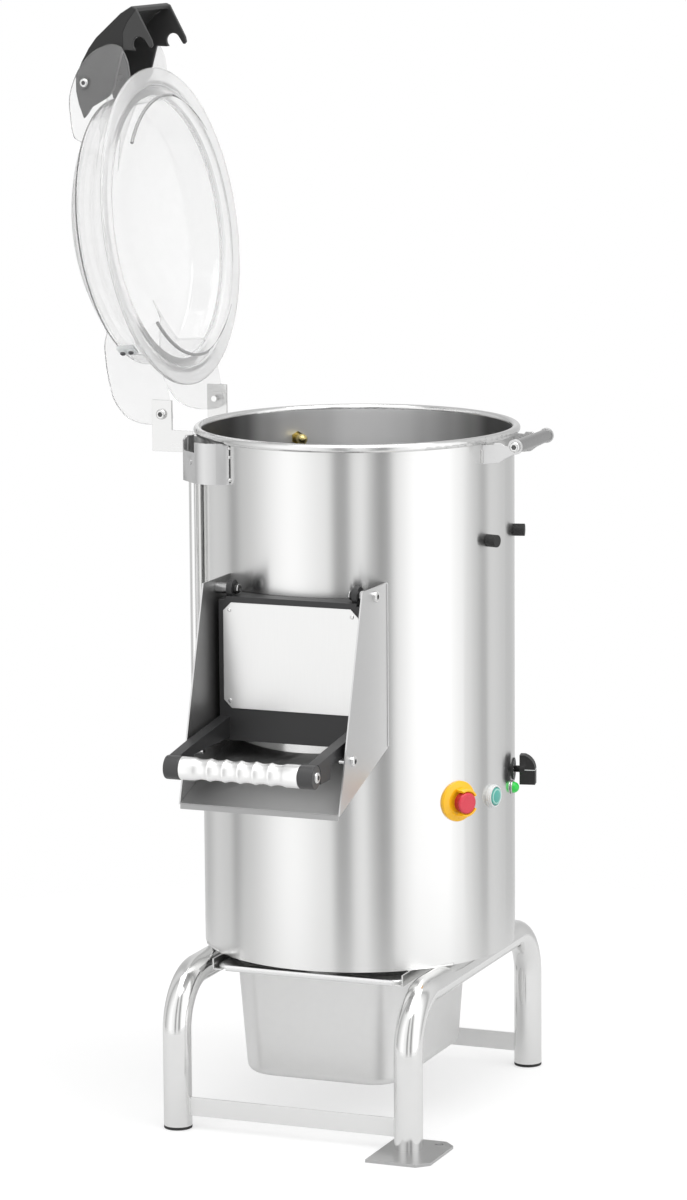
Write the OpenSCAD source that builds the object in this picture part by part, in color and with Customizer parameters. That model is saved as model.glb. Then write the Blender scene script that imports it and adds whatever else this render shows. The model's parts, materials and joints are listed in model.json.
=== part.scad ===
// Electric potato peeler: a steel drum on a tube stand, with a clear hinged lid,
// a discharge door in a sheet chute, and a peel pan that slides under the drum.
// Millimetres, +Z up. The origin is on the floor, on the axis of the drum.
// +X is to the right seen from the chute, and the chute is at the front, -Y.

/* [Drum] */
// Outer radius of the drum
drum_r = 210; // [200:1:220]
// Height of the drum, from its lower edge to the top of its rim
drum_h = 700; // [680:5:740]
// Thickness of the drum's sheet
drum_wall = 2; // [1:0.5:3]
// Radius of the rolled bead round the rim
bead_r = 5.5; // [4:0.5:7]
// Height of the motor room under the peeling chamber
motor_room_h = 265; // [255:1:275]

/* [Stand] */
// Height of the drum's lower edge above the floor
stand_h = 220; // [210:5:260]
// Outer radius of the stand's tube
tube_r = 19; // [17:0.5:21]
// Wall of the stand's tube
tube_wall = 2; // [1.5:0.5:3]
// Distance of each side frame's middle plane inside the drum's radius
frame_in = 45.6; // [42:0.2:48]
// Distance of the front legs in front of the drum
leg_ahead = 36; // [30:1:50]
// Distance of the rear legs behind the drum
leg_behind = 5; // [2:1:30]
// Radius of the bends, at the tube's centre line
bend_r = 70; // [60:1:80]
// Height of the flat cross bars
bar_h = 25; // [20:1:30]
// Thickness of the flat cross bars
bar_t = 4; // [3:0.5:6]
// Height of a cross bar's lower edge above the floor
bar_lift = 18; // [14:1:40]
// Thickness of a foot, cap or plate, under a leg
foot_t = 4; // [3:0.5:6]

/* [Peel pan] */
// Length of the pan's rim, front to back
pan_len = 325; // [310:1:330]
// Gap between the pan's rim and each side frame
pan_side_gap = 12.9; // [11.5:0.1:16]
// Depth of the pan
pan_h = 150; // [120:1:155]
// Thickness of the pan's sheet
pan_wall = 1.2; // [1:0.1:2]
// Width of the flange round the pan
pan_flange = 13; // [10:0.5:15]
// Distance of the pan's front rim behind the drum's front
pan_setback = 23; // [15:1:30]

/* [Chute] */
// Half of the chute's width inside
chute_half_w = 110; // [107:0.5:114]
// Thickness of the chute's sheet
chute_wall = 2; // [1:0.5:3]
// Height of the discharge opening's sill above the motor room
sill_lift = 51; // [48:1:60]
// Height of the discharge opening
opening_h = 172; // [160:1:176]
// Half of the discharge opening's width
opening_half_w = 90; // [80:1:92]
// Reach of the chute's lip in front of the drum
lip_reach = 138; // [130:1:150]
// Reach of the side plates' top corners in front of the drum
cheek_reach = 54; // [50:1:60]
// Drop of the lip below the sill
lip_drop = 73; // [65:1:80]

/* [Door] */
// Half of the door's width
door_half_w = 102; // [99:0.5:104]
// Distance of the door's front face from the drum's radius
door_out = 25; // [23:0.5:28]
// Radius of the door's pivot screws
door_pin_r = 4; // [3:0.5:5]
// Radius of the metal grip
grip_r = 15; // [13:0.5:16]
// Half of the metal grip's length
grip_half_l = 82; // [78:1:84]
// Reach of the grip's axis in front of the drum
grip_reach = 193; // [186:1:198]

/* [Lid] */
// Angle at which the open lid rests
lid_open = 98; // [94:1:102]
// Overhang of the lid's flange beyond the drum's radius
lid_over = 4; // [0:0.5:6]
// Distance of the lid's wall inside the drum's radius
dome_in = 30; // [26:1:35]
// Height of the lid's wall
lid_wall_h = 58; // [54:1:60]
// Rise of the dome above the lid's wall
lid_dome_h = 60; // [50:1:62]
// Thickness of the clear moulding
lid_t = 4; // [3:0.5:5]
// Distance of the lid's hinge outside the drum
hinge_out = 33; // [32:0.5:36]
// Height of the lid's hinge above the rim
hinge_up = 14; // [13:0.5:18]

/* [Latch and catch] */
// Radius of the catch rod
rod_r = 8.5; // [7:0.5:9]
// Distance of the catch rod outside the drum
rod_out = 36.5; // [36:0.5:38]
// Drop of the catch rod below the rim
rod_drop = 13; // [12:0.5:14]
// Half of the latch's width
latch_half_w = 57.5; // [52:0.5:58]
// Thickness of the latch's moulding
latch_t = 5; // [4:0.5:6]
// Radius of the bolts at the rim and of the latch's screws
pin_r = 4; // [3:0.5:5]

/* [Controls] */
// Radius of the emergency stop's plate
estop_plate_r = 27; // [24:0.5:30]
// Radius of the emergency stop's head
estop_head_r = 13.5; // [12:0.5:14]
// Radius of the start button
start_r = 12; // [10:0.5:13]
// Radius of the holes for the controls
control_hole_r = 11; // [10:0.5:11.5]
// Length of the timer knob's grip
knob_l = 40; // [34:1:44]
// Depth of the timer knob
knob_depth = 21; // [18:1:24]

/* [Drive] */
// Radius of the drive shaft
shaft_r = 12.5; // [11:0.5:14]
// Gap between the abrasive disc's edge and the drum's wall
disc_gap = 12; // [10:0.5:23]
// Thickness of the abrasive disc
disc_t = 10; // [8:0.5:14]
// Gap between the two pulleys
pulley_gap = 26; // [24:1:34]
// Radius of the motor pulley where the belt runs
motor_pulley_r = 18; // [15:0.5:22]
// Gap of the motor's bracket to the bearing housing and to the drum
bracket_gap = 8; // [7:0.5:12]
// Overhang of the motor's bracket beyond the motor's body
bracket_over = 22; // [20:1:28]
// Radius of the motor's shaft
motor_shaft_r = 9.5; // [8:0.5:11]
// Width of the belt
belt_w = 15; // [12:1:18]

/* [Water and cable] */
// Outer radius of the drain duct
duct_r = 36; // [30:1:37]
// Radius of the water inlet's thread
inlet_r = 10.48; // [8.3:0.01:13.2]
// Height of the water nozzle below the rim
nozzle_drop = 44; // [40:1:60]
// Radius of the cable gland's bore
gland_bore_r = 5; // [3:0.5:6]

/* [Hidden] */
$fn = 72;
hull_fn = 32;
fine_fn = 360;

// Cuts run past the faces that they open by this much
overrun = 1;
// Radial clearance of a pin or shaft that turns in its hole
run_fit = 0.05;
// Radial clearance of a screw in its plate
tight_fit = 0.01;
// Gap between pieces that only lie beside each other
seat_gap = 0.3;

// Levels and places that several pieces share
top_z = stand_h + drum_h;
bead_out = 2.5;
bead_mid_r = drum_r + bead_out;
bead_clear_r = bead_mid_r + bead_r + seat_gap;
bead_low_z = top_z - 2 * bead_r - seat_gap;
drum_in_r = drum_r - drum_wall;
fill_r = drum_in_r - seat_gap;
frame_x = drum_r - frame_in;
leg_front = drum_r + leg_ahead;
leg_back = drum_r + leg_behind;
chamber_z = stand_h + motor_room_h;
floor_t = 3;
floor_top_z = chamber_z + floor_t;
disc_r = drum_in_r - disc_gap;
disc_lift = 15;
disc_z = floor_top_z + disc_lift;
disc_top_z = disc_z + disc_t;

// Discharge opening and chute
sill_z = chamber_z + sill_lift;
opening_top_z = sill_z + opening_h;
chute_rise = 203;
chute_top_z = sill_z + chute_rise;
chute_out = chute_half_w + chute_wall;
lip_y = -(drum_r + lip_reach);
lip_z = sill_z - lip_drop;
cheek_y = -(drum_r + cheek_reach);
chute_join_drop = 15;
chute_join_z = sill_z - chute_join_drop;
join_y = -sqrt(pow(drum_r, 2) - pow(chute_out, 2));
lip_fold = 6;
pivot_out = 12;
pivot_drop = 12;
pivot_y = -(drum_r + pivot_out);
pivot_z = chute_top_z - pivot_drop;
screw_head_r = 7;
screw_head_h = 3;

// Door
door_front_y = -(drum_r + door_out);
door_gap = 3;
door_back_r = drum_r + door_gap;
door_top_drop = 8.4;
door_top_z = pivot_z - door_top_drop;
seal_w = 8;
door_bottom_z = sill_z - seal_w;
ear_in = 84;
ear_out = 92;
ear_r = 12;
arm_in = 88;
arm_proud = 1;
arm_out = door_half_w + arm_proud;
grip_y = -(drum_r + grip_reach);
grip_drop = 12.5;
grip_z = sill_z - grip_drop;
cap_proud = 0.5;
cap_r = grip_r + cap_proud;
stud_r = 4.25;
stud_l = 15;
stud_reach = 93.5;
stud_drop = 9.7;
stud_y = -(drum_r + stud_reach);
stud_z = sill_z - stud_drop;
face_t = 1.5;
face_half_w = 95;
face_low = 35;
face_h = 140;
face_corner = 11;
face_z = sill_z + face_low;

// Lid, hinge, latch and catch
lid_flange_r = drum_r + lid_over;
lid_dome_r = drum_r - dome_in;
lid_seat = 0.5;
lid_z = top_z + lid_seat;
hinge_x = -(drum_r + hinge_out);
hinge_z = top_z + hinge_up;
plate_t = 3;
hinge_fin_y = 84;
hinge_fin_t = 5;
fin_gap = 2;
hinge_plate_y = hinge_fin_y + hinge_fin_t + fin_gap;
ear_gap = 0.8;
latch_ear_y = latch_half_w + ear_gap;
latch_ear_t = 4;
latch_in = 4;
latch_x = drum_r - latch_in;
latch_up = 72;
latch_z = top_z + latch_up;
latch_reach = 92;
latch_drop = 105;
rod_x = drum_r + rod_out;
rod_z = top_z - rod_drop;
catch_gap = 1.5;
catch_y = latch_half_w + catch_gap;

// Controls on the drum's right front
estop_angle = -30;
start_angle = -11.3;
lamp_angle = 8;
timer_angle = 12.5;
estop_drop = 45;
start_drop = 49;
lamp_drop = 51;
timer_drop = 29;
estop_z = chamber_z - estop_drop;
start_z = chamber_z - start_drop;
lamp_z = chamber_z - lamp_drop;
timer_z = chamber_z - timer_drop;

// Motor room: the motor stands halfway between the bearing housing and the drum
housing_r = 36;
housing_flange_r = 58;
bracket_r = (drum_in_r - housing_r) / 2 - bracket_gap;
motor_r = bracket_r - bracket_over;
motor_dist = (drum_in_r + housing_r) / 2;
pulley_r = motor_dist - motor_pulley_r - pulley_gap;
motor_angle = 120;
motor_x = motor_dist * cos(motor_angle);
motor_y = motor_dist * sin(motor_angle);
pulley_lift = 50;
pulley_z = stand_h + pulley_lift;
pulley_lip_t = 2;
pulley_lip = 4;
pulley_rim_h = belt_w + 2 * pulley_lip_t;
duct_share = 0.45;
duct_y = -(housing_flange_r + duct_share * (fill_r - housing_flange_r));
bearing_out_r = 26;
bearing_h = 15;

// Tubes, rings and mirrored pairs

module ring(r_out, r_in, h) {
    difference() {
        cylinder(r = r_out, h = h);
        translate([0, 0, -overrun]) cylinder(r = r_in, h = h + 2 * overrun);
    }
}

module both_x() {
    children();
    mirror([1, 0, 0]) children();
}

module both_y() {
    children();
    mirror([0, 1, 0]) children();
}

// An outline drawn in y and z, as a plate from x0 to x1
module along_x(x0, x1) {
    translate([x0, 0, 0]) rotate([90, 0, 90]) linear_extrude(x1 - x0) children();
}

// An outline drawn in x and z, as a plate from y0 to y1
module along_y(y0, y1) {
    translate([0, y1, 0]) rotate([90, 0, 0]) linear_extrude(y1 - y0) children();
}

// A rod along x from x0 to x1 at y, z
module rod_x(x0, x1, y, z, r) {
    translate([x0, y, z]) rotate([0, 90, 0]) cylinder(r = r, h = x1 - x0);
}

// A rod along y from y0 to y1 at x, z
module rod_y(y0, y1, x, z, r) {
    translate([x, y1, z]) rotate([90, 0, 0]) cylinder(r = r, h = y1 - y0);
}

// Puts a piece on the drum's wall, its own z axis pointing outward
module on_wall(angle, z) {
    rotate([0, 0, angle]) translate([drum_r, 0, z]) rotate([0, 90, 0]) children();
}

module drum_bulk(r) {
    cylinder(r = r, h = top_z + overrun, $fn = fine_fn);
}

module bead_bulk() {
    translate([0, 0, bead_low_z]) cylinder(r = bead_clear_r, h = 2 * bead_r + 2 * overrun);
}

module rounded_rect(x0, x1, y0, y1, r) {
    translate([x0 + r, y0]) square([x1 - x0 - 2 * r, y1 - y0]);
    translate([x0, y0 + r]) square([x1 - x0, y1 - y0 - 2 * r]);
    for (x = [x0 + r, x1 - r], y = [y0 + r, y1 - r]) translate([x, y]) circle(r = r);
}

// Scales a table of shares to an outline
function outline(shares, w, h) = [for (p = shares) [p[0] * w, p[1] * h]];

// Drum and its fixed sheets

cover_gap = 2;
cover_t = 1.5;
tab_t = 3;
tab_l = 22;
tab_w = 20;
cover_bolt_r = 3;
cover_bolt_place = drum_in_r - tab_l / 2;
tab_angles = [45, 135, 225, 315];

module drum_shell() color("gainsboro") {
    difference() {
        translate([0, 0, stand_h]) ring(drum_r, drum_in_r, drum_h - bead_r);
        translate([-opening_half_w, -drum_r - overrun, sill_z])
            cube([2 * opening_half_w, drum_r / 2, opening_h]);
        for (c = [[estop_angle, estop_z], [start_angle, start_z]])
            on_wall(c[0], c[1]) wall_hole(control_hole_r);
        on_wall(lamp_angle, lamp_z) wall_hole(lamp_hole_r);
        on_wall(timer_angle, timer_z) wall_hole(timer_bush_r);
        on_wall(nozzle_angle, nozzle_z) wall_hole(pipe_r);
        on_wall(gland_angle, gland_z) wall_hole(gland_thread_r);
        on_wall(conduit_angle, conduit_low_z) wall_hole(conduit_r);
    }
    translate([0, 0, top_z - bead_r]) rotate_extrude()
        translate([bead_mid_r, 0]) circle(r = bead_r);
    for (a = tab_angles) rotate([0, 0, a]) difference() {
        intersection() {
            translate([drum_r - tab_l - drum_wall, -tab_w / 2, stand_h + cover_gap + cover_t])
                cube([tab_l + drum_wall, tab_w, tab_t]);
            cylinder(r = drum_r - drum_wall / 2, h = top_z);
        }
        translate([cover_bolt_place, 0, stand_h]) cylinder(r = cover_bolt_r, h = motor_room_h / 2);
    }
}

module wall_hole(r) {
    translate([0, 0, -4 * drum_wall]) cylinder(r = r, h = 8 * drum_wall);
}

collar_in_r = 26;
collar_t = 2.5;
collar_h = 12;
shaft_hole_r = 18;

module chamber_floor() color("silver") difference() {
    union() {
        translate([0, 0, chamber_z]) cylinder(r = fill_r, h = floor_t);
        translate([0, 0, chamber_z]) cylinder(r = collar_in_r + collar_t, h = floor_t + collar_h);
    }
    translate([0, 0, floor_top_z]) cylinder(r = collar_in_r, h = collar_h + overrun);
    translate([0, 0, chamber_z - overrun]) cylinder(r = shaft_hole_r, h = floor_t + 2 * overrun);
    translate([0, duct_y, chamber_z - overrun]) cylinder(r = duct_r, h = floor_t + 2 * overrun);
    for (a = tab_angles) rotate([0, 0, a])
        translate([housing_bolt_place, 0, chamber_z - overrun])
            cylinder(r = housing_bolt_r, h = floor_t + 2 * overrun);
}

module bottom_cover() color("silver") difference() {
    translate([0, 0, stand_h + cover_gap]) cylinder(r = fill_r, h = cover_t);
    translate([0, duct_y, stand_h]) cylinder(r = duct_r + seat_gap, h = motor_room_h / 2);
    for (a = tab_angles) rotate([0, 0, a])
        translate([cover_bolt_place, 0, stand_h]) cylinder(r = cover_bolt_r, h = motor_room_h / 2);
}

housing_bolt_r = 4;
housing_bolt_place = 47;
bolt_head_h = 5;

// Bolts of the bearing housing and of the bottom cover
module hex_bolts() color("lightgray") {
    for (a = tab_angles) rotate([0, 0, a]) {
        translate([housing_bolt_place, 0, chamber_z - housing_flange_t - bolt_head_h])
            cylinder(r = 2 * housing_bolt_r - housing_bolt_r / 4, h = bolt_head_h, $fn = 6);
        translate([housing_bolt_place, 0, chamber_z - housing_flange_t - bolt_head_h])
            cylinder(r = housing_bolt_r - run_fit, h = bolt_head_h + housing_flange_t + floor_t);
        translate([cover_bolt_place, 0, stand_h])
            cylinder(r = 2 * cover_bolt_r - cover_bolt_r / 4, h = cover_gap, $fn = 6);
        translate([cover_bolt_place, 0, stand_h])
            cylinder(r = cover_bolt_r - run_fit, h = cover_gap + cover_t + tab_t);
    }
}

duct_wall = 1.5;
duct_end = 4;

module drain_duct() color("silver") translate([0, duct_y, stand_h - duct_end])
    ring(duct_r, duct_r - duct_wall, floor_top_z - stand_h + duct_end);

liner_t = 4.7;

module abrasive_liner() color("dimgray") difference() {
    translate([0, 0, disc_top_z - disc_t / 2])
        ring(fill_r, fill_r - liner_t, opening_top_z + disc_t - disc_top_z + disc_t / 2);
    translate([-opening_half_w, -drum_r, sill_z]) cube([2 * opening_half_w, drum_r / 2, opening_h]);
}

// Drive: disc, shaft, bearings, pulleys, belt and motor

hub_r = 21;
hub_gap = 3;
ridge_h = 12;
ridge_count = 3;
ridge_r = 60;
ridge_in_r = 34;
paddle_w = 8;
paddle_gap = 5;

module abrasive_disc() color("darkslategray") difference() {
    union() {
        translate([0, 0, disc_z]) cylinder(r = disc_r, h = disc_t);
        translate([0, 0, floor_top_z + hub_gap]) cylinder(r = hub_r, h = disc_z - floor_top_z);
        for (i = [0:ridge_count - 1]) rotate([0, 0, i * 360 / ridge_count]) disc_ridge();
        for (a = [0, 180]) rotate([0, 0, a])
            translate([collar_in_r + collar_t + paddle_w, -paddle_w / 2, floor_top_z + paddle_gap])
                cube([disc_r - hub_r - 3 * paddle_w, paddle_w, disc_z - floor_top_z]);
    }
    translate([0, 0, floor_top_z - overrun])
        cylinder(r = shaft_r + run_fit, h = motor_room_h);
}

// A low wave across the disc, cut from a rod that lies along a radius
module disc_ridge() intersection() {
    rod_x(ridge_in_r, disc_r - disc_t, 0, disc_top_z + ridge_h - ridge_r, ridge_r);
    translate([0, -ridge_r, disc_z + disc_t / 2]) cube([disc_r, 2 * ridge_r, ridge_h + disc_t]);
}

nut_r = 17;
nut_h = 12;

module disc_nut() color("silver") difference() {
    union() {
        translate([0, 0, disc_top_z]) cylinder(r = nut_r, h = nut_h, $fn = 6);
        translate([0, 0, disc_top_z + nut_h]) cylinder(r = nut_r - nut_h / 4, h = nut_h / 4);
    }
    translate([0, 0, disc_top_z - overrun]) cylinder(r = shaft_r + run_fit, h = nut_h + overrun);
}

shaft_end = 8;

module drive_shaft() color("lightgray") translate([0, 0, pulley_z - shaft_end])
    cylinder(r = shaft_r, h = disc_top_z + nut_h - overrun - pulley_z + shaft_end);

seal_h = 8;

module shaft_seal() color("black") translate([0, 0, chamber_z - seal_h])
    ring(bearing_out_r - run_fit, shaft_r + run_fit, seal_h);

housing_flange_t = 8;
housing_h = 140;
housing_low_z = chamber_z - housing_h;
housing_bore_r = 20;

module bearing_housing() color("gray") difference() {
    union() {
        translate([0, 0, housing_low_z]) cylinder(r = housing_r, h = housing_h);
        translate([0, 0, chamber_z - housing_flange_t])
            cylinder(r = housing_flange_r, h = housing_flange_t);
    }
    translate([0, 0, housing_low_z - overrun])
        cylinder(r = housing_bore_r, h = housing_h + 2 * overrun);
    translate([0, 0, chamber_z - seal_h - bearing_h])
        cylinder(r = bearing_out_r, h = seal_h + bearing_h + overrun);
    translate([0, 0, housing_low_z - overrun]) cylinder(r = bearing_out_r, h = bearing_h + overrun);
    for (a = tab_angles) rotate([0, 0, a])
        translate([housing_bolt_place, 0, chamber_z - housing_h / 2])
            cylinder(r = housing_bolt_r, h = housing_h);
}

race_r = 19;
race_groove = 1;
race_w = 3.5;

module shaft_bearings() color("silver")
    for (z = [housing_low_z, chamber_z - seal_h - bearing_h]) translate([0, 0, z]) difference() {
        ring(bearing_out_r - run_fit, shaft_r + run_fit, bearing_h);
        for (g = [-overrun, bearing_h - race_groove]) translate([0, 0, g])
            ring(race_r + race_w, race_r - race_w, race_groove + overrun);
    }

// A flat-belt pulley with a lip on each side of the belt
module belt_pulley(r, bore) difference() {
    union() {
        cylinder(r = r, h = pulley_rim_h);
        for (z = [0, pulley_rim_h - pulley_lip_t]) translate([0, 0, z])
            cylinder(r = r + pulley_lip, h = pulley_lip_t);
    }
    translate([0, 0, -overrun]) cylinder(r = bore + run_fit, h = pulley_rim_h + 2 * overrun);
}

web_t = 6;
rim_t = 8;
pulley_holes = 5;
pulley_hole_r = 12;

module driven_pulley() color("dimgray") difference() {
    translate([0, 0, pulley_z]) belt_pulley(pulley_r, shaft_r);
    for (z = [pulley_z - overrun, pulley_z + pulley_rim_h / 2 + web_t / 2]) translate([0, 0, z])
        ring(pulley_r - rim_t, hub_r + rim_t / 2, pulley_rim_h / 2 - web_t / 2 + overrun);
    for (i = [0:pulley_holes - 1]) rotate([0, 0, i * 360 / pulley_holes])
        translate([(pulley_r + hub_r) / 2 - rim_t / 4, 0, pulley_z - overrun])
            cylinder(r = pulley_hole_r, h = pulley_rim_h + 2 * overrun);
}

module motor_pulley() color("dimgray")
    translate([motor_x, motor_y, pulley_z]) belt_pulley(motor_pulley_r, motor_shaft_r);

belt_t = 3;

// The outline of a belt round both pulleys
module belt_outline(grow) hull() {
    circle(r = pulley_r + grow);
    translate([motor_dist, 0]) circle(r = motor_pulley_r + grow);
}

module drive_belt() color("black") rotate([0, 0, motor_angle])
    translate([0, 0, pulley_z + pulley_lip_t + seat_gap])
        linear_extrude(belt_w - 2 * seat_gap) difference() {
            belt_outline(seat_gap + belt_t);
            belt_outline(seat_gap);
        }

motor_lift = 30;
motor_z = pulley_z + motor_lift;
fin_h = 4;
motor_h = 125;
motor_flange_r = motor_r + fin_h;
motor_flange_t = 8;
motor_cowl_h = 30;
fin_count = 24;
fin_t = 2;
shaft_in_motor = 100;
box_l = 60;
box_w = 44;
box_d = 26;

module motor_body() color("steelblue") translate([motor_x, motor_y, motor_z]) difference() {
    union() {
        cylinder(r = motor_flange_r, h = motor_flange_t);
        cylinder(r = motor_r - fin_h, h = motor_h);
        for (i = [0:fin_count - 1]) rotate([0, 0, i * 360 / fin_count])
            translate([0, -fin_t / 2, 0]) cube([motor_r, fin_t, motor_h - 2 * motor_flange_t]);
        translate([0, 0, motor_h - overrun]) ring(motor_r, motor_r - fin_h / 2, motor_cowl_h);
        translate([0, 0, motor_h - motor_flange_t]) cylinder(r = motor_r, h = motor_flange_t);
        translate([0, 0, motor_h + motor_cowl_h - 2 * overrun]) ring(motor_r, motor_r / 2, overrun);
        translate([-motor_r - box_d + fin_h, -box_w / 2, motor_h / 3]) cube([box_d, box_w, box_l]);
    }
    translate([0, 0, -overrun]) cylinder(r = motor_shaft_r + run_fit, h = shaft_in_motor);
}

module motor_shaft() color("lightgray")
    translate([motor_x, motor_y, pulley_z - shaft_end / 4])
        cylinder(r = motor_shaft_r, h = motor_lift + shaft_in_motor - 4 * overrun);

bracket_t = 5;
post_in = 7;
post_place = bracket_r - post_in;
post_r = 5;
post_angles = [-15, 70, 130, 255];

module motor_bracket() color("silver") translate([motor_x, motor_y, 0]) {
    difference() {
        translate([0, 0, motor_z - bracket_t]) cylinder(r = bracket_r, h = bracket_t);
        translate([0, 0, motor_z - bracket_t - overrun])
            cylinder(r = 2 * motor_shaft_r, h = bracket_t + 2 * overrun);
    }
    for (a = post_angles) rotate([0, 0, a]) translate([post_place, 0, motor_z - bracket_t])
        cylinder(r = post_r, h = chamber_z - motor_z + bracket_t);
}

// Water, cable and wiring

nozzle_angle = 135;
nozzle_z = top_z - nozzle_drop;
pipe_r = 6;
nozzle_l = 17;
nozzle_head_r = 7.5;
nozzle_tip_l = 12;
nozzle_nut_r = 9.5;
nozzle_nut_t = 2.5;

module water_nozzle() color("goldenrod") on_wall(nozzle_angle, nozzle_z) {
    translate([0, 0, -drum_wall - nozzle_l]) cylinder(r = pipe_r - seat_gap, h = nozzle_l + drum_wall);
    translate([0, 0, -drum_wall - seat_gap - nozzle_nut_t])
        cylinder(r = nozzle_nut_r, h = nozzle_nut_t, $fn = 6);
    translate([0, 0, -drum_wall - nozzle_l]) sphere(r = nozzle_head_r);
    translate([0, 0, -drum_wall - nozzle_l]) rotate([0, 90, 0])
        cylinder(r = pipe_r - seat_gap, h = nozzle_tip_l);
}

inlet_l = 34;
thread_l = 14;
inlet_body_r = 9;
inlet_nut_r = 13.5;
inlet_nut_t = 6;

// Straight fitting outside the drum: its threaded end points outward
module water_inlet() color("goldenrod") on_wall(nozzle_angle, nozzle_z) {
    translate([0, 0, seat_gap]) cylinder(r = inlet_body_r, h = inlet_l - thread_l);
    translate([0, 0, seat_gap]) cylinder(r = inlet_nut_r, h = inlet_nut_t, $fn = 6);
    translate([0, 0, inlet_l - thread_l]) cylinder(r = inlet_r, h = thread_l);
}

gland_angle = 100;
gland_lift = 60;
gland_z = stand_h + gland_lift;
gland_thread_r = 8;
gland_nut_r = 13;
gland_l = 22;
gland_nut_h = 9;
gland_dome_r = 11;
gland_in = 16;

module cable_gland() color("black") on_wall(gland_angle, gland_z) difference() {
    union() {
        translate([0, 0, -gland_in]) cylinder(r = gland_thread_r - run_fit, h = gland_l);
        translate([0, 0, seat_gap]) cylinder(r = gland_nut_r, h = gland_nut_h, $fn = 6);
        translate([0, 0, gland_nut_h]) cylinder(r = gland_dome_r, h = gland_l - gland_nut_h);
    }
    translate([0, 0, -2 * gland_in])
        cylinder(r = gland_bore_r, h = 2 * gland_in + gland_l + overrun);
}

// Pocket on the drum's left front that shields the lid's switch.
// Its plan is drawn along the drum's outward direction and round the drum.
pocket_angle = -133;
pocket_out = 32;
pocket_len = 110;
pocket_low = 63;
pocket_h = 54;
pocket_wall = 2;
pocket_z = top_z - pocket_low;
pocket_shares = [[-0.5, 0.40], [0.0, 0.40], [0.38, 0.35], [0.72, 0.28], [0.92, 0.2],
    [1.0, 0.136], [1.0, -0.225], [0.47, -0.5], [0.38, -0.58], [-0.5, -0.6]];
notch_h = 14;
notch_share = 0.32;
notch_shift_share = -0.045;

module pocket_plan(out, len) polygon([for (p = pocket_shares) [drum_r + p[0] * out, p[1] * len]]);

module switch_box() color("gainsboro") {
    translate([0, 0, pocket_z]) difference() {
        rotate([0, 0, pocket_angle]) difference() {
            linear_extrude(pocket_h) pocket_plan(pocket_out, pocket_len);
            translate([0, 0, pocket_wall]) linear_extrude(pocket_h)
                pocket_plan(pocket_out - pocket_wall, pocket_len - 3 * pocket_wall);
            translate([drum_r, (notch_shift_share - notch_share / 2) * pocket_len, pocket_h - notch_h])
                cube([2 * pocket_out, notch_share * pocket_len, 2 * notch_h]);
        }
        translate([0, 0, -overrun]) drum_bulk(drum_r);
        translate([0, 0, -pocket_z]) bead_bulk();
        rotate([0, 0, conduit_angle]) translate([conduit_place, 0, -overrun])
            cylinder(r = conduit_r, h = pocket_h);
    }
    rotate([0, 0, pocket_angle]) translate([drum_r + pocket_out, 0, pocket_z + pocket_h / 2])
        rotate([0, 90, 0]) cylinder(r = screw_head_r / 2, h = screw_head_h / 2);
}

conduit_r = 8.5;
conduit_place = drum_r + conduit_r + seat_gap;
conduit_share = 0.5;
conduit_angle = pocket_angle - asin(conduit_share * pocket_len / conduit_place);
conduit_drop = 30;
conduit_low_z = chamber_z - conduit_drop;
conduit_in = 12;
elbow_proud = 0.5;

// Wiring tube from the switch pocket down to the motor room
module switch_conduit() color("whitesmoke") {
    rotate([0, 0, conduit_angle]) translate([conduit_place, 0, conduit_low_z])
        cylinder(r = conduit_r - run_fit, h = pocket_z + conduit_in - conduit_low_z);
    rotate([0, 0, conduit_angle]) translate([conduit_place, 0, conduit_low_z])
        sphere(r = conduit_r + elbow_proud);
    on_wall(conduit_angle, conduit_low_z) translate([0, 0, -conduit_in])
        cylinder(r = conduit_r - run_fit, h = conduit_in + conduit_r);
}

switch_w = 26;
switch_d = 18;
switch_h = 36;

module lid_switch() color("black") rotate([0, 0, pocket_angle])
    translate([drum_r + pocket_out - pocket_wall - switch_d, -switch_w / 2, pocket_z + pocket_wall])
        cube([switch_d, switch_w, switch_h]);

// Lid: one clear moulding, drawn closed and turned open about its hinge

module open_lid() {
    translate([hinge_x, 0, hinge_z]) rotate([0, -lid_open, 0])
        translate([-hinge_x, 0, -hinge_z]) children();
}

lid_flange_t = 5;
shoulder_in = 19.5;
shoulder_in_r = drum_r - shoulder_in;
skirt_in = 24;
skirt_r = drum_r - skirt_in;
skirt_h = 20;
skirt_angle = 100;
step_h = 13;
step_in = 6;
dome_ball_r = (pow(lid_dome_r, 2) + pow(lid_dome_h, 2)) / (2 * lid_dome_h);
dome_ball_z = lid_wall_h + lid_dome_h - dome_ball_r;
fin_len = 115;
fin_rise = 87;
fin_shares = [[1, 0.914], [0.861, 0.983], [0.6, 1], [0.409, 0.989], [0.226, 0.954],
    [0.052, 0.833], [-0.043, 0.684], [-0.096, 0.5], [-0.122, 0.282], [-0.113, 0.109],
    [-0.061, 0.012], [0.061, 0], [1, 0]];
ear_len = 123.4;
ear_rise = 100;
ear_shares = [[0, 0.895], [0.073, 0.995], [0.284, 1], [0.502, 0.971], [0.721, 0.835],
    [0.872, 0.671], [0.964, 0.485], [1, 0.265], [0.964, 0.145], [0.908, 0.095],
    [0.786, 0.05], [0, 0.05]];

// Everything inside the dome's outer face, less the given thickness
module dome_bulk(t) {
    cylinder(r = lid_dome_r - t, h = lid_wall_h);
    intersection() {
        translate([0, 0, dome_ball_z]) sphere(r = dome_ball_r - t);
        translate([0, 0, lid_wall_h - overrun]) cylinder(r = lid_dome_r - t, h = 2 * lid_dome_h);
    }
}

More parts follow.
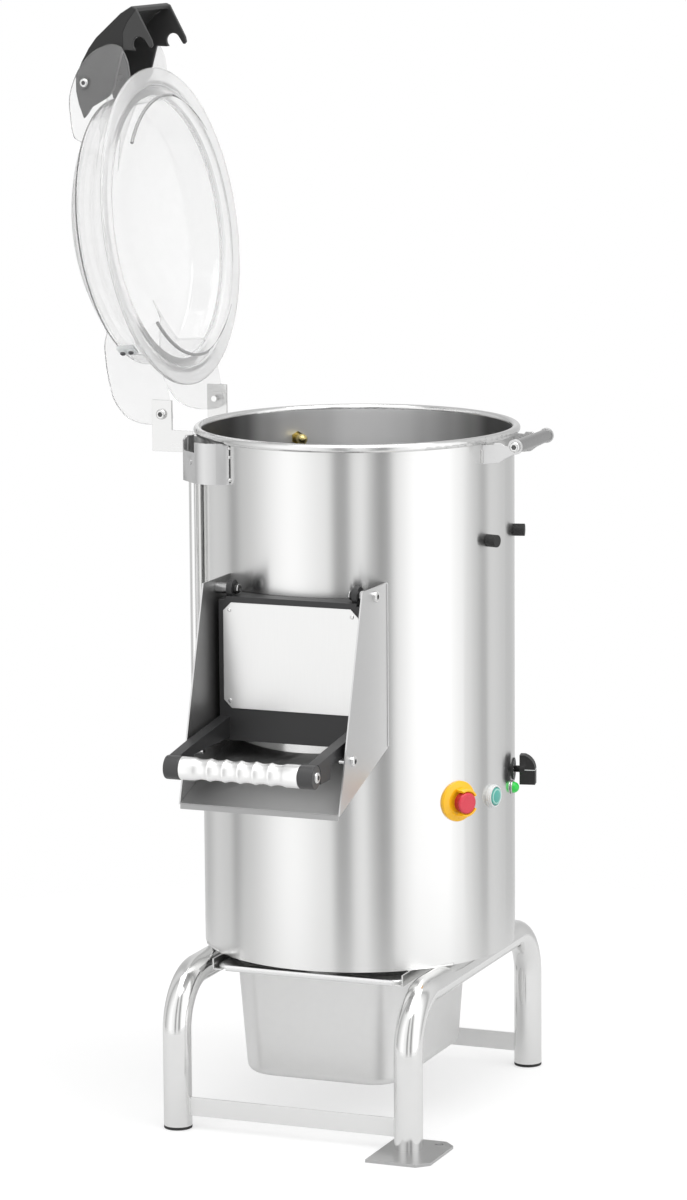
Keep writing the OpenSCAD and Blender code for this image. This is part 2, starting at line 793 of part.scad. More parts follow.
module lid_plates() difference() {
    union() {
        both_y() translate([hinge_x, 0, 0]) along_y(hinge_fin_y, hinge_fin_y + hinge_fin_t)
            polygon(outline(fin_shares, fin_len, fin_rise));
        both_y() translate([latch_x + latch_reach / 2 - ear_len, 0, 0])
            along_y(latch_ear_y, latch_ear_y + latch_ear_t)
                polygon(outline(ear_shares, ear_len, ear_rise));
    }
    translate([0, 0, -overrun]) cylinder(r = shoulder_in_r, h = step_h);
    dome_bulk(lid_t / 2);
}

module lid_dome() color("lightcyan", 0.4) open_lid() difference() {
    translate([0, 0, lid_z]) {
        rotate_extrude() polygon([[lid_flange_r, 0], [lid_flange_r, lid_flange_t],
            [shoulder_in_r + step_in, lid_flange_t], [shoulder_in_r + lid_t, step_h],
            [skirt_r, step_h + lid_t], [lid_dome_r + lid_t / 2, lid_wall_h / 2 + step_h],
            [lid_dome_r, lid_wall_h], [lid_dome_r - lid_t, lid_wall_h],
            [lid_dome_r - lid_t / 2, lid_wall_h / 2 + step_h], [skirt_r - lid_t, step_h],
            [shoulder_in_r, step_h - lid_t / 2], [shoulder_in_r, 0]]);
        difference() {
            intersection() {
                translate([0, 0, dome_ball_z]) sphere(r = dome_ball_r);
                translate([0, 0, lid_wall_h]) cylinder(r = lid_dome_r, h = 2 * lid_dome_h);
            }
            translate([0, 0, dome_ball_z]) sphere(r = dome_ball_r - lid_t);
        }
        for (a = [0, 180]) rotate([0, 0, a - skirt_angle / 2]) rotate_extrude(angle = skirt_angle)
            translate([skirt_r, -skirt_h]) square([lid_t, skirt_h + step_h]);
        lid_plates();
    }
    rod_y(-drum_r, drum_r, hinge_x, hinge_z, pin_r + run_fit);
    both_y() rod_y(latch_half_w, latch_half_w + 2 * latch_ear_t, latch_x, latch_z, pin_r + run_fit);
}

magnet_angle = -145;
magnet_w = 18;
magnet_d = 8;
magnet_h = 24;
magnet_lift = 32;

// Magnet for the lid's switch, screwed to the lid's wall
module lid_magnet() color("dimgray") open_lid() translate([0, 0, lid_z]) difference() {
    rotate([0, 0, magnet_angle]) {
        translate([lid_dome_r - magnet_d, -magnet_w / 2, magnet_lift])
            cube([2 * magnet_d, magnet_w, magnet_h]);
        for (z = [magnet_h / 4, magnet_h * 3 / 4]) translate([lid_dome_r, 0, magnet_lift + z])
            rotate([0, 90, 0]) cylinder(r = magnet_w / 4, h = magnet_d + magnet_d / 4);
    }
    cylinder(r = lid_dome_r + lid_t, h = lid_wall_h, $fn = fine_fn);
}

latch_shares = [[-0.511, 0.103], [-0.309, 0.143], [-0.112, 0.158], [0.122, 0.132],
    [0.301, 0.028], [0.488, -0.1], [0.62, -0.219], [0.916, -0.606], [0.996, -0.774],
    [0.957, -0.829], [0.467, -0.986], [0.39, -0.99], [0.364, -0.962], [0.364, -0.705],
    [0.391, -0.571], [0.061, -0.445], [-0.143, -0.373], [-0.239, -0.295], [-0.283, -0.21],
    [-0.36, -0.035], [-0.46, 0.048]];
web_shares = [[-0.112, 0.158], [0.122, 0.132], [0.301, 0.028], [0.488, -0.1],
    [0.62, -0.219], [0.916, -0.606], [0.996, -0.774], [0.957, -0.829], [0.9, -0.805],
    [0.93, -0.775], [0.86, -0.62], [0.57, -0.255], [0.445, -0.14], [0.26, -0.015],
    [0.1, 0.085], [-0.112, 0.11]];
slot_gap = 1;
slot_turn = atan2(rod_z - latch_z, rod_x - latch_x);

// Hooks round the catch rod when the lid is shut. The slot leaves along the
// circle that the rod follows about the latch's pivot.
module lid_latch() color("darkslategray") open_lid() difference() {
    translate([latch_x, 0, latch_z]) {
        both_y() along_y(latch_half_w - latch_t, latch_half_w)
            polygon(outline(latch_shares, latch_reach, latch_drop));
        along_y(-latch_half_w, latch_half_w) polygon(outline(web_shares, latch_reach, latch_drop));
    }
    translate([rod_x, 0, rod_z]) rotate([0, -slot_turn, 0]) {
        rod_y(-drum_r, drum_r, 0, 0, rod_r + slot_gap);
        translate([-rod_r - slot_gap, -drum_r, -latch_drop / 4])
            cube([2 * (rod_r + slot_gap), 2 * drum_r, latch_drop / 4]);
    }
    rod_y(-drum_r, drum_r, latch_x, latch_z, pin_r + run_fit);
}

latch_screw_head_r = 6;

module latch_screws() color("silver") open_lid() both_y() {
    rod_y(latch_half_w - latch_t, latch_ear_y + latch_ear_t, latch_x, latch_z, pin_r);
    rod_y(latch_ear_y + latch_ear_t, latch_ear_y + latch_ear_t + screw_head_h, latch_x, latch_z,
        latch_screw_head_r);
}

hinge_leg_w = 29;
hinge_leg_h = 69;
hinge_arm_h = 29;
hinge_leg_side = 14;
hinge_arm_drop = 36;
hinge_arm_in = 52;
hinge_arm_z = top_z - hinge_arm_drop;

// Two bent plates on the drum that carry the lid
module hinge_plates() color("silver") both_y() difference() {
    along_y(hinge_plate_y, hinge_plate_y + plate_t) {
        translate([hinge_x - hinge_leg_side, hinge_arm_z]) square([hinge_leg_w, hinge_leg_h]);
        translate([hinge_x - hinge_leg_side, hinge_arm_z])
            square([hinge_leg_side + hinge_out + hinge_arm_in, hinge_arm_h]);
    }
    drum_bulk(drum_r);
    bead_bulk();
    rod_y(0, drum_r, hinge_x, hinge_z, pin_r);
}

// The two bolts of the lid's hinge and the two that hold the catch rod
module rim_bolts() color("lightgray") both_y() {
    rod_y(hinge_fin_y - screw_head_h, hinge_plate_y + plate_t, hinge_x, hinge_z, pin_r - tight_fit);
    rod_y(hinge_plate_y + plate_t, hinge_plate_y + plate_t + screw_head_h, hinge_x, hinge_z, screw_head_r);
    rod_y(catch_y - 2 * screw_head_h, catch_y + plate_t, rod_x, rod_z, pin_r - tight_fit);
    rod_y(catch_y + plate_t, catch_y + plate_t + screw_head_h, rod_x, rod_z, screw_head_r);
}

catch_boss_r = 10;
catch_shares = [[-0.3, 0.1], [0.16, 0.1], [0.22, 0.4], [0.45, 0.4], [0.62, 0.03], [1, -0.1],
    [1, -0.9], [0.62, -1.6], [0.4, -2.2], [-0.3, -2.5]];

// Two plates that hold the catch rod. Their outline is in shares of the rod's
// reach and of the boss at its end.
module catch_plates() color("silver") both_y() difference() {
    along_y(catch_y, catch_y + plate_t) {
        translate([drum_r, rod_z]) polygon(outline(catch_shares, rod_out, catch_boss_r));
        translate([rod_x, rod_z]) circle(r = catch_boss_r);
    }
    drum_bulk(drum_r);
    bead_bulk();
    rod_y(0, drum_r, rod_x, rod_z, pin_r);
}

module catch_rod() color("whitesmoke") difference() {
    rod_y(-catch_y, catch_y, rod_x, rod_z, rod_r);
    both_y() rod_y(catch_y - 3 * screw_head_h, catch_y + overrun, rod_x, rod_z, pin_r);
}

bumper_angle = 13.6;
bumper_r = 8.25;
bumper_l = 15;
bumper_in = 3;
bumper_drop = 140;

module rubber_bumpers() color("black") for (a = [-bumper_angle, bumper_angle]) difference() {
    on_wall(a, top_z - bumper_drop) translate([0, 0, -bumper_in])
        cylinder(r = bumper_r, h = bumper_l + bumper_in);
    drum_bulk(drum_r);
}

// Chute

module chute_side() difference() {
    along_x(chute_half_w, chute_out)
        polygon([[cheek_y, chute_top_z], [lip_y, lip_z], [join_y, chute_join_z],
            [-drum_r / 2, chute_join_z], [-drum_r / 2, chute_top_z]]);
    drum_bulk(drum_r);
    rod_x(0, drum_r, pivot_y, pivot_z, door_pin_r);
    rod_x(0, drum_r, stud_y, stud_z, pin_r);
}

module chute_side_right() color("gray") chute_side();

module chute_side_left() color("gray") mirror([1, 0, 0]) chute_side();

chute_slope = atan2(chute_join_z - lip_z, join_y - lip_y);

module chute_floor() color("darkgray") difference() {
    union() {
        along_x(-chute_half_w, chute_half_w) translate([lip_y, lip_z]) rotate(chute_slope)
            square([drum_r, chute_wall]);
        along_x(-chute_half_w, chute_half_w) translate([lip_y, lip_z - lip_fold])
            square([chute_wall, lip_fold + chute_wall]);
    }
    drum_bulk(drum_r);
}

// Studs that the door's arms rest on, with their screw heads outside
module stop_studs() color("silver") both_x() {
    rod_x(chute_half_w - stud_l, chute_half_w, stud_y, stud_z, stud_r);
    rod_x(chute_half_w - stud_l, chute_out + overrun, stud_y, stud_z, pin_r - run_fit);
    rod_x(chute_out, chute_out + screw_head_h, stud_y, stud_z, screw_head_r);
}

// Door

arm_top_lift = 36;
arm_mid_lift = 22.5;
arm_low_y = grip_y + 2 * grip_r + 3 * screw_head_h + 2 * stud_r;
arm_under_share = 0.77;
arm_under_z = grip_z - arm_under_share * grip_r;

module door_body() color("darkslategray") difference() {
    union() {
        translate([-door_half_w, door_front_y, door_bottom_z])
            cube([2 * door_half_w, door_out + drum_r / 5, door_top_z - door_bottom_z]);
        both_x() rod_x(ear_in, ear_out, pivot_y, pivot_z, ear_r);
        both_x() along_x(arm_in, arm_out) polygon([
            [door_front_y + overrun, grip_z + arm_top_lift],
            [grip_y + 4 * grip_r, grip_z + arm_mid_lift],
            [grip_y + grip_r / 2, grip_z + cap_r - overrun],
            [grip_y + grip_r, arm_under_z],
            [arm_low_y, arm_under_z],
            [arm_low_y + stud_r, stud_z + stud_r + seat_gap],
            [door_front_y + overrun, stud_z + stud_r + seat_gap]]);
    }
    drum_bulk(door_back_r);
    rod_x(-drum_r, drum_r, grip_y, grip_z, cap_r + run_fit);
    rod_x(-drum_r, drum_r, pivot_y, pivot_z, door_pin_r + run_fit);
    both_x() translate([ear_out, pivot_y - door_out, pivot_z - ear_r - overrun])
        cube([drum_r, 2 * door_out + ear_r, 3 * ear_r]);
}

module door_face_plate() color("whitesmoke") translate([0, door_front_y, face_z])
    rotate([90, 0, 0]) linear_extrude(face_t) polygon([
        [-face_half_w, face_corner], [-face_half_w + face_corner, 0],
        [face_half_w - face_corner, 0], [face_half_w, face_corner],
        [face_half_w, face_h - face_corner], [face_half_w - face_corner, face_h],
        [-face_half_w + face_corner, face_h], [-face_half_w, face_h - face_corner]]);

// Rubber frame between the door and the drum, round the opening
module door_seal() color("black") difference() {
    intersection() {
        drum_bulk(door_back_r);
        translate([-opening_half_w - seal_w, -drum_r - door_out, sill_z - seal_w + overrun / 2])
            cube([2 * (opening_half_w + seal_w), drum_r / 2, opening_h + 2 * seal_w - overrun]);
    }
    drum_bulk(drum_r + seat_gap);
    translate([-opening_half_w, -drum_r - door_out, sill_z])
        cube([2 * opening_half_w, drum_r / 2, opening_h]);
}

groove_count = 6;
groove_pitch = 21;
groove_depth = 2;
groove_r = (pow(groove_pitch / 2, 2) + pow(groove_depth, 2)) / (2 * groove_depth);

// Metal grip with hollows for the fingers
module handle_grip() color("silver") translate([0, grip_y, grip_z]) rotate([0, 90, 0]) difference() {
    translate([0, 0, -grip_half_l]) cylinder(r = grip_r, h = 2 * grip_half_l);
    for (i = [0:groove_count - 1])
        translate([0, 0, (i - (groove_count - 1) / 2) * groove_pitch]) rotate_extrude()
            translate([grip_r - groove_depth + groove_r, 0]) circle(r = groove_r);
    translate([0, 0, -2 * grip_half_l]) cylinder(r = pin_r, h = 4 * grip_half_l);
}

module handle_caps() color("black") both_x() difference() {
    rod_x(grip_half_l, arm_out, grip_y, grip_z, cap_r);
    rod_x(0, drum_r, grip_y, grip_z, pin_r);
}

face_screw_in = 9;

// Screws of the grip's ends and of the face plate's corners
module door_screws() color("silver") {
    both_x() rod_x(grip_half_l - 3 * screw_head_h, arm_out + overrun, grip_y, grip_z, pin_r - run_fit);
    both_x() rod_x(arm_out, arm_out + screw_head_h / 2, grip_y, grip_z, 2 * pin_r - overrun);
    for (x = [-face_half_w + face_screw_in, face_half_w - face_screw_in],
        z = [face_z + face_screw_in + overrun, face_z + face_h - face_screw_in - overrun])
        translate([x, door_front_y - face_t, z]) rotate([90, 0, 0])
            cylinder(r = pin_r / 2, h = face_t / 2);
}

module door_bushes() color("silver") both_x() difference() {
    rod_x(ear_out + seat_gap, chute_half_w, pivot_y, pivot_z, screw_head_r);
    rod_x(0, drum_r, pivot_y, pivot_z, door_pin_r);
}

module door_pivot_screws() color("silver") both_x() {
    rod_x(ear_in - 2 * screw_head_h, chute_out + overrun, pivot_y, pivot_z, door_pin_r - tight_fit);
    rod_x(chute_out, chute_out + screw_head_h, pivot_y, pivot_z, screw_head_r);
    rod_x(ear_in - 2 * screw_head_h, ear_in - seat_gap, pivot_y, pivot_z, screw_head_r - overrun);
}

// Controls

estop_travel = 4;
collar_base_h = 4;
shroud_r = 17.5;
shroud_h = 12;
shroud_notch = 7;
shroud_turns = [20, 110];
estop_stem_r = 8;
nut_t = 5;
nut_out_r = 15;

module estop_collar() color("gold") difference() {
    union() {
        difference() {
            on_wall(estop_angle, estop_z) {
                translate([0, 0, -collar_base_h])
                    cylinder(r = estop_plate_r, h = collar_base_h + collar_base_h / 2);
                cylinder(r = shroud_r, h = shroud_h);
            }
            drum_bulk(drum_r);
        }
        on_wall(estop_angle, estop_z) inner_nut();
    }
    on_wall(estop_angle, estop_z) {
        translate([0, 0, collar_base_h]) cylinder(r = estop_head_r + overrun, h = shroud_h);
        for (a = shroud_turns) rotate([0, 0, a])
            translate([-2 * shroud_r, -shroud_notch / 2, collar_base_h])
                cube([4 * shroud_r, shroud_notch, shroud_h]);
        translate([0, 0, -3 * estop_stem_r]) cylinder(r = estop_stem_r + run_fit, h = 6 * estop_stem_r);
    }
}

// Threaded neck through the drum's wall, with its nut inside
module inner_nut() {
    translate([0, 0, -drum_wall - nut_t]) cylinder(r = control_hole_r - seat_gap, h = nut_t + 2 * drum_wall);
    translate([0, 0, -2 * drum_wall - nut_t]) cylinder(r = nut_out_r, h = nut_t);
}

estop_head_h = 9;
stem_in = 12;

module estop_button() color("red") on_wall(estop_angle, estop_z) {
    translate([0, 0, -stem_in]) cylinder(r = estop_stem_r, h = stem_in + shroud_h);
    translate([0, 0, collar_base_h + estop_travel + overrun])
        cylinder(r = estop_head_r, h = estop_head_h);
    intersection() {
        translate([0, 0, collar_base_h + estop_travel + overrun + estop_head_h - estop_head_r])
            sphere(r = estop_head_r * sqrt(2));
        translate([0, 0, collar_base_h + estop_travel + overrun + estop_head_h])
            cylinder(r = estop_head_r, h = estop_head_r);
    }
}

bezel_w = 3.5;
bezel_h = 4;
lamp_r = 7.5;
lamp_hole_r = 6;

// Fixed surrounds of the start button and of the lamp
module button_bezels() color("white") {
    difference() {
        union() {
            difference() {
                on_wall(start_angle, start_z) translate([0, 0, -bezel_h / 2])
                    cylinder(r = start_r + bezel_w, h = bezel_h + bezel_h / 2);
                drum_bulk(drum_r);
            }
            on_wall(start_angle, start_z) inner_nut();
        }
        on_wall(start_angle, start_z) {
            translate([0, 0, bezel_h / 2]) cylinder(r = start_r + seat_gap, h = bezel_h);
            translate([0, 0, -3 * start_stem_r])
                cylinder(r = start_stem_r + run_fit, h = 6 * start_stem_r);
        }
    }
    on_wall(lamp_angle, lamp_z) difference() {
        union() {
            translate([0, 0, seat_gap]) cylinder(r = lamp_r + bezel_w / 2, h = bezel_h / 2);
            translate([0, 0, -nut_t]) cylinder(r = lamp_hole_r - seat_gap, h = nut_t + bezel_h / 2);
        }
        translate([0, 0, bezel_h / 4]) cylinder(r = lamp_r, h = bezel_h);
    }
}

start_travel = 3;
start_stem_r = 9;
start_stand = 2;
start_face_z = bezel_h / 2 + start_travel + seat_gap;

module start_button() color("mediumseagreen") on_wall(start_angle, start_z) {
    translate([0, 0, -stem_in]) cylinder(r = start_stem_r, h = stem_in + start_face_z);
    translate([0, 0, start_face_z]) cylinder(r = start_r, h = start_stand);
}

module lamp_lens() color("limegreen") on_wall(lamp_angle, lamp_z) {
    translate([0, 0, bezel_h / 4]) cylinder(r = lamp_r - run_fit, h = bezel_h / 2);
    intersection() {
        translate([0, 0, bezel_h * 3 / 4]) sphere(r = lamp_r - run_fit);
        translate([0, 0, bezel_h * 3 / 4]) cylinder(r = lamp_r, h = lamp_r);
    }
}

dial_r = 15;
dial_t = 1.5;
timer_bush_r = 6;
timer_shaft_r = 3;
knob_stand = 9;
knob_w = 16;
knob_base_r = 10;

module timer_dial() color("dimgray") difference() {
    union() {
        difference() {
            on_wall(timer_angle, timer_z) translate([0, 0, -dial_t]) cylinder(r = dial_r, h = 2 * dial_t);
            drum_bulk(drum_r);
        }
        on_wall(timer_angle, timer_z) translate([0, 0, -stem_in])
            cylinder(r = timer_bush_r - seat_gap, h = stem_in + dial_t / 2);
    }
    on_wall(timer_angle, timer_z) translate([0, 0, -2 * stem_in])
        cylinder(r = timer_shaft_r + run_fit, h = 4 * stem_in);
}

// Pointer knob: a thick grip, rounded towards its upper end, on a short neck
module timer_knob() color("black") on_wall(timer_angle, timer_z) {
    translate([0, 0, -stem_in]) cylinder(r = timer_shaft_r, h = stem_in + knob_stand);
    translate([0, 0, dial_t + seat_gap]) cylinder(r = timer_shaft_r + dial_t, h = knob_stand);
    translate([0, 0, knob_stand]) intersection() {
        translate([-knob_l / 2, -knob_w / 2, 0]) cube([knob_l, knob_w, knob_depth]);
        union() {
            translate([0, knob_w, 0]) rotate([90, 0, 0]) cylinder(r = knob_depth, h = 2 * knob_w);
            translate([0, -knob_w, 0]) cube([knob_l, 2 * knob_w, knob_depth]);
        }
    }
    translate([0, 0, knob_stand]) cylinder(r = knob_base_r, h = knob_depth / 3);
}

block_w = 30;
block_h = 40;
block_d = 38;
block_front = 2 * drum_wall + nut_t + seat_gap;
block_bore_l = stem_in + 2 * estop_travel;

// Contact blocks of the two buttons and the timer's clockwork, each with room
// for the stem that reaches into it
module contact_blocks() color("darkslategray") {
    contact_block(estop_angle, estop_z, estop_stem_r);
    contact_block(start_angle, start_z, start_stem_r);
    contact_block(timer_angle, timer_z, timer_bush_r);
}

module contact_block(angle, z, stem_r) on_wall(angle, z) difference() {
    translate([-block_h / 2, -block_w / 2, -block_front - block_d]) cube([block_h, block_w, block_d]);
    translate([0, 0, -block_bore_l]) cylinder(r = stem_r + seat_gap, h = block_bore_l);
}

// Stand

run_z = stand_h - tube_r;
run_l = leg_front + leg_back - 2 * bend_r;
leg_h = run_z - bend_r - foot_t;

module tube(h) ring(tube_r, tube_r - tube_wall, h);

module bend(y, turn) translate([0, y, run_z - bend_r]) rotate([90, 0, 90]) rotate([0, 0, turn])
    rotate_extrude(angle = 90) translate([bend_r, 0]) difference() {
        circle(r = tube_r);
        circle(r = tube_r - tube_wall);
    }

module side_frame() color("lightgray") {
    for (y = [-leg_front, leg_back]) translate([0, y, foot_t]) tube(leg_h);
    bend(-leg_front + bend_r, 90);
    bend(leg_back - bend_r, 0);
    translate([0, leg_back - bend_r, run_z]) rotate([90, 0, 0]) tube(run_l);
}

module left_frame() translate([-frame_x, 0, 0]) side_frame();

module right_frame() translate([frame_x, 0, 0]) side_frame();

module cross_bars() color("silver") difference() {
    for (y = [-leg_front, leg_back]) translate([-frame_x, y - bar_t / 2, bar_lift])
        cube([2 * frame_x, bar_t, bar_h]);
    both_x() for (y = [-leg_front, leg_back]) translate([frame_x, y, 0])
        cylinder(r = tube_r, h = stand_h);
}

foot_plug = 16;

module foot_caps() color("black") for (p = [[-frame_x, -leg_front], [frame_x, leg_back]])
    translate([p[0], p[1], 0]) {
        cylinder(r = tube_r, h = foot_t);
        cylinder(r = tube_r - tube_wall - seat_gap, h = foot_t + foot_plug);
    }

foot_in = 34.4;
foot_out = 50.6;
foot_front = 68;
foot_back = 46;
foot_cut = 15;

anchor_r = 5.5;
anchor_place = 31;

// Foot plate with a hole for a floor anchor
module floor_plate() translate([frame_x, -leg_front, 0]) linear_extrude(foot_t) difference() {
    polygon([[-foot_in, -foot_front], [foot_out - foot_cut, -foot_front],
        [foot_out, -foot_front + foot_cut], [foot_out, foot_back - foot_cut],
        [foot_out - foot_cut, foot_back], [-foot_in, foot_back]]);
    translate([anchor_place, anchor_place]) circle(r = anchor_r);
}

module floor_plates() color("silver") {
    floor_plate();
    translate([0, leg_back - leg_front, 0]) rotate([0, 0, 180]) floor_plate();
}

// Peel pan and the runners that it hangs in

pan_w = 2 * (frame_x - tube_r - pan_side_gap);
pan_front = drum_r - pan_setback;
runner_t = 2;
runner_gap = 10.5;
runner_in = 19;
runner_x = pan_w / 2 + runner_gap;
pan_drop = 9;
pan_top_z = stand_h - pan_drop;
pan_edge = 4;
lip_low_z = pan_top_z - pan_edge - seat_gap - runner_t;
runner_over = 6;
runner_end = 4;

module pan_runners() color("silver") both_x()
    translate([0, -pan_front - runner_end, 0]) {
        translate([runner_x, 0, lip_low_z]) cube([runner_t, pan_len + runner_over, stand_h - lip_low_z]);
        for (z = [lip_low_z, stand_h - runner_t]) translate([runner_x - runner_in, 0, z])
            cube([runner_in, pan_len + runner_over, runner_t]);
    }

pan_corner_r = 38;
pan_taper = 9;
pan_round = 9;
pan_skin = 0.4;

// One level of the pan's body: four corner posts, drawn in by inset
module pan_level(z, inset, t) {
    for (x = [-1, 1], y = [0, 1])
        translate([x * (pan_w / 2 - pan_flange - inset - pan_corner_r),
            -pan_front + pan_flange + inset + pan_corner_r
                + y * (pan_len - 2 * (pan_flange + inset + pan_corner_r)), z])
            cylinder(r = pan_corner_r - t, h = pan_skin, $fn = hull_fn);
}

module pan_hull(t, up) hull() {
    pan_level(pan_top_z - pan_skin + up, 0, t);
    pan_level(pan_top_z - pan_h + pan_round + t, pan_taper, t);
    pan_level(pan_top_z - pan_h + pan_round / 3 + t, pan_taper + pan_round / 3, t);
    pan_level(pan_top_z - pan_h + t, pan_taper + pan_round, t);
}

module peel_pan() color("gainsboro") difference() {
    union() {
        pan_hull(0, 0);
        translate([0, 0, pan_top_z - pan_edge]) linear_extrude(pan_edge) difference() {
            rounded_rect(-pan_w / 2, pan_w / 2, -pan_front, pan_len - pan_front, pan_flange);
            rounded_rect(-pan_w / 2 + pan_wall, pan_w / 2 - pan_wall, -pan_front + pan_wall,
                pan_len - pan_front - pan_wall, pan_flange - pan_wall);
        }
        translate([0, 0, pan_top_z - pan_wall]) linear_extrude(pan_wall)
            rounded_rect(-pan_w / 2, pan_w / 2, -pan_front, pan_len - pan_front, pan_flange);
    }
    pan_hull(pan_wall, overrun);
}

drum_shell();
chamber_floor();
bottom_cover();
hex_bolts();
drain_duct();
abrasive_liner();
abrasive_disc();
disc_nut();
drive_shaft();
shaft_seal();
bearing_housing();
shaft_bearings();
driven_pulley();
drive_belt();
motor_pulley();
motor_body();
motor_shaft();
motor_bracket();
water_nozzle();
water_inlet();
cable_gland();
lid_dome();
lid_magnet();
lid_latch();
latch_screws();
hinge_plates();
rim_bolts();
switch_box();
switch_conduit();
lid_switch();
catch_plates();
catch_rod();
rubber_bumpers();
chute_side_left();
chute_side_right();
chute_floor();
stop_studs();
door_body();
door_face_plate();
door_seal();
handle_grip();
handle_caps();
door_screws();
door_bushes();
door_pivot_screws();
estop_collar();
estop_button();
button_bezels();
start_button();
lamp_lens();
timer_dial();
timer_knob();
contact_blocks();
left_frame();
right_frame();
cross_bars();
foot_caps();
floor_plates();
pan_runners();
peel_pan();
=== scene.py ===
"""The looks of the electric potato peeler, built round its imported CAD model."""

import json
import math

import bmesh
import bpy
from mathutils import Matrix, Vector


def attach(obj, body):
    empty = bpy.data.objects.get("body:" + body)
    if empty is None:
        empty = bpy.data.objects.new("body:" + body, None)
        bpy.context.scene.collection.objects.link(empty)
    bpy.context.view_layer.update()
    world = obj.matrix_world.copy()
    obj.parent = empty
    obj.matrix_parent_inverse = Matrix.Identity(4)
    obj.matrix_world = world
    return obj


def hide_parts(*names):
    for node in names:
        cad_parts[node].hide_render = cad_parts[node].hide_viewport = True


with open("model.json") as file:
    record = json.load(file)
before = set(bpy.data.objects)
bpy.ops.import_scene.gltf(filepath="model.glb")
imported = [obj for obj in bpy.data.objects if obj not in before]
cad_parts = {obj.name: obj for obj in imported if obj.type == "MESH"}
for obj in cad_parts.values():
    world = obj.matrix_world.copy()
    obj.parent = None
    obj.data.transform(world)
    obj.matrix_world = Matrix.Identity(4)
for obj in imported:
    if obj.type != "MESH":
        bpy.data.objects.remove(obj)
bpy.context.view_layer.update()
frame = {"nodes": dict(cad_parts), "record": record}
nodes = frame["nodes"]
record = frame["record"]
body_of = {n: b for b, members in record["behaviour"]["bodies"].items() for n in members}
slot_of = {part["node"]: part["material_slot"] for part in record["subparts"]}

# Sizes in millimetres, repeated from part.scad
MM = 0.001
DRUM_R = 210
DRUM_TOP = 920
DRUM_BOTTOM = 220
FRAME_X = 164.4
LEG_FRONT = 246
LEG_BACK = 215
TUBE_R = 19
HINGE = (-243, 0, 934)
LID_OPEN = 98
LID_Z = 920.5

# The controls' places, as an angle round the drum and a height
STOP_AT = (-30, 440)
START_AT = (-11.3, 436)
LAMP_AT = (8, 434)
TIMER_AT = (12.5, 456)
# Centres of the chute's and the door's pins in y and z, and how far out in x their heads sit
DOOR_PIVOT = (-222, 727)
DOOR_STUD = (-303.5, 526.3)
GRIP_AT = (-403, 523.5)
CHUTE_OUT = 112
BUSH_IN = 84.2
GRIP_END = 103
# The catch rod's centre in x and z, how far out in y the heads sit, and the latch's screw with the lid open
CATCH_ROD = (246.5, 907)
CATCH_OUT = 62
HINGE_OUT = 94
LATCH_SCREW = (-362.9, 62.3, 1370.6)
# The wiring tube's angle round the drum and its distance from the drum's axis
CONDUIT_ANGLE = -147.56
CONDUIT_FROM_AXIS = 218.8

# The photograph's camera, worked out from the drum's two rims and the feet
CAMERA_AT = Vector((2.3094, -5.7710, 1.7272))
CAMERA_TURN = math.radians(21.99)
CAMERA_PITCH = math.radians(9.55)
CAMERA_ROLL = math.radians(-0.42)
LENS_MM = 140.9


def make_camera():
    forward = Vector((-math.sin(CAMERA_TURN) * math.cos(CAMERA_PITCH),
                      math.cos(CAMERA_TURN) * math.cos(CAMERA_PITCH), -math.sin(CAMERA_PITCH)))
    right = Vector((math.cos(CAMERA_TURN), math.sin(CAMERA_TURN), 0))
    up = right.cross(forward)
    side = right * math.cos(CAMERA_ROLL) + up * math.sin(CAMERA_ROLL)
    top = up * math.cos(CAMERA_ROLL) - right * math.sin(CAMERA_ROLL)
    data = bpy.data.cameras.new("camera")
    data.lens = LENS_MM
    data.sensor_width = 36
    data.clip_end = 200
    camera = bpy.data.objects.new("camera", data)
    turn = Matrix((side, top, -forward)).transposed()
    camera.matrix_world = Matrix.Translation(CAMERA_AT) @ turn.to_4x4()
    bpy.context.scene.collection.objects.link(camera)
    bpy.context.scene.camera = camera


# Node trees

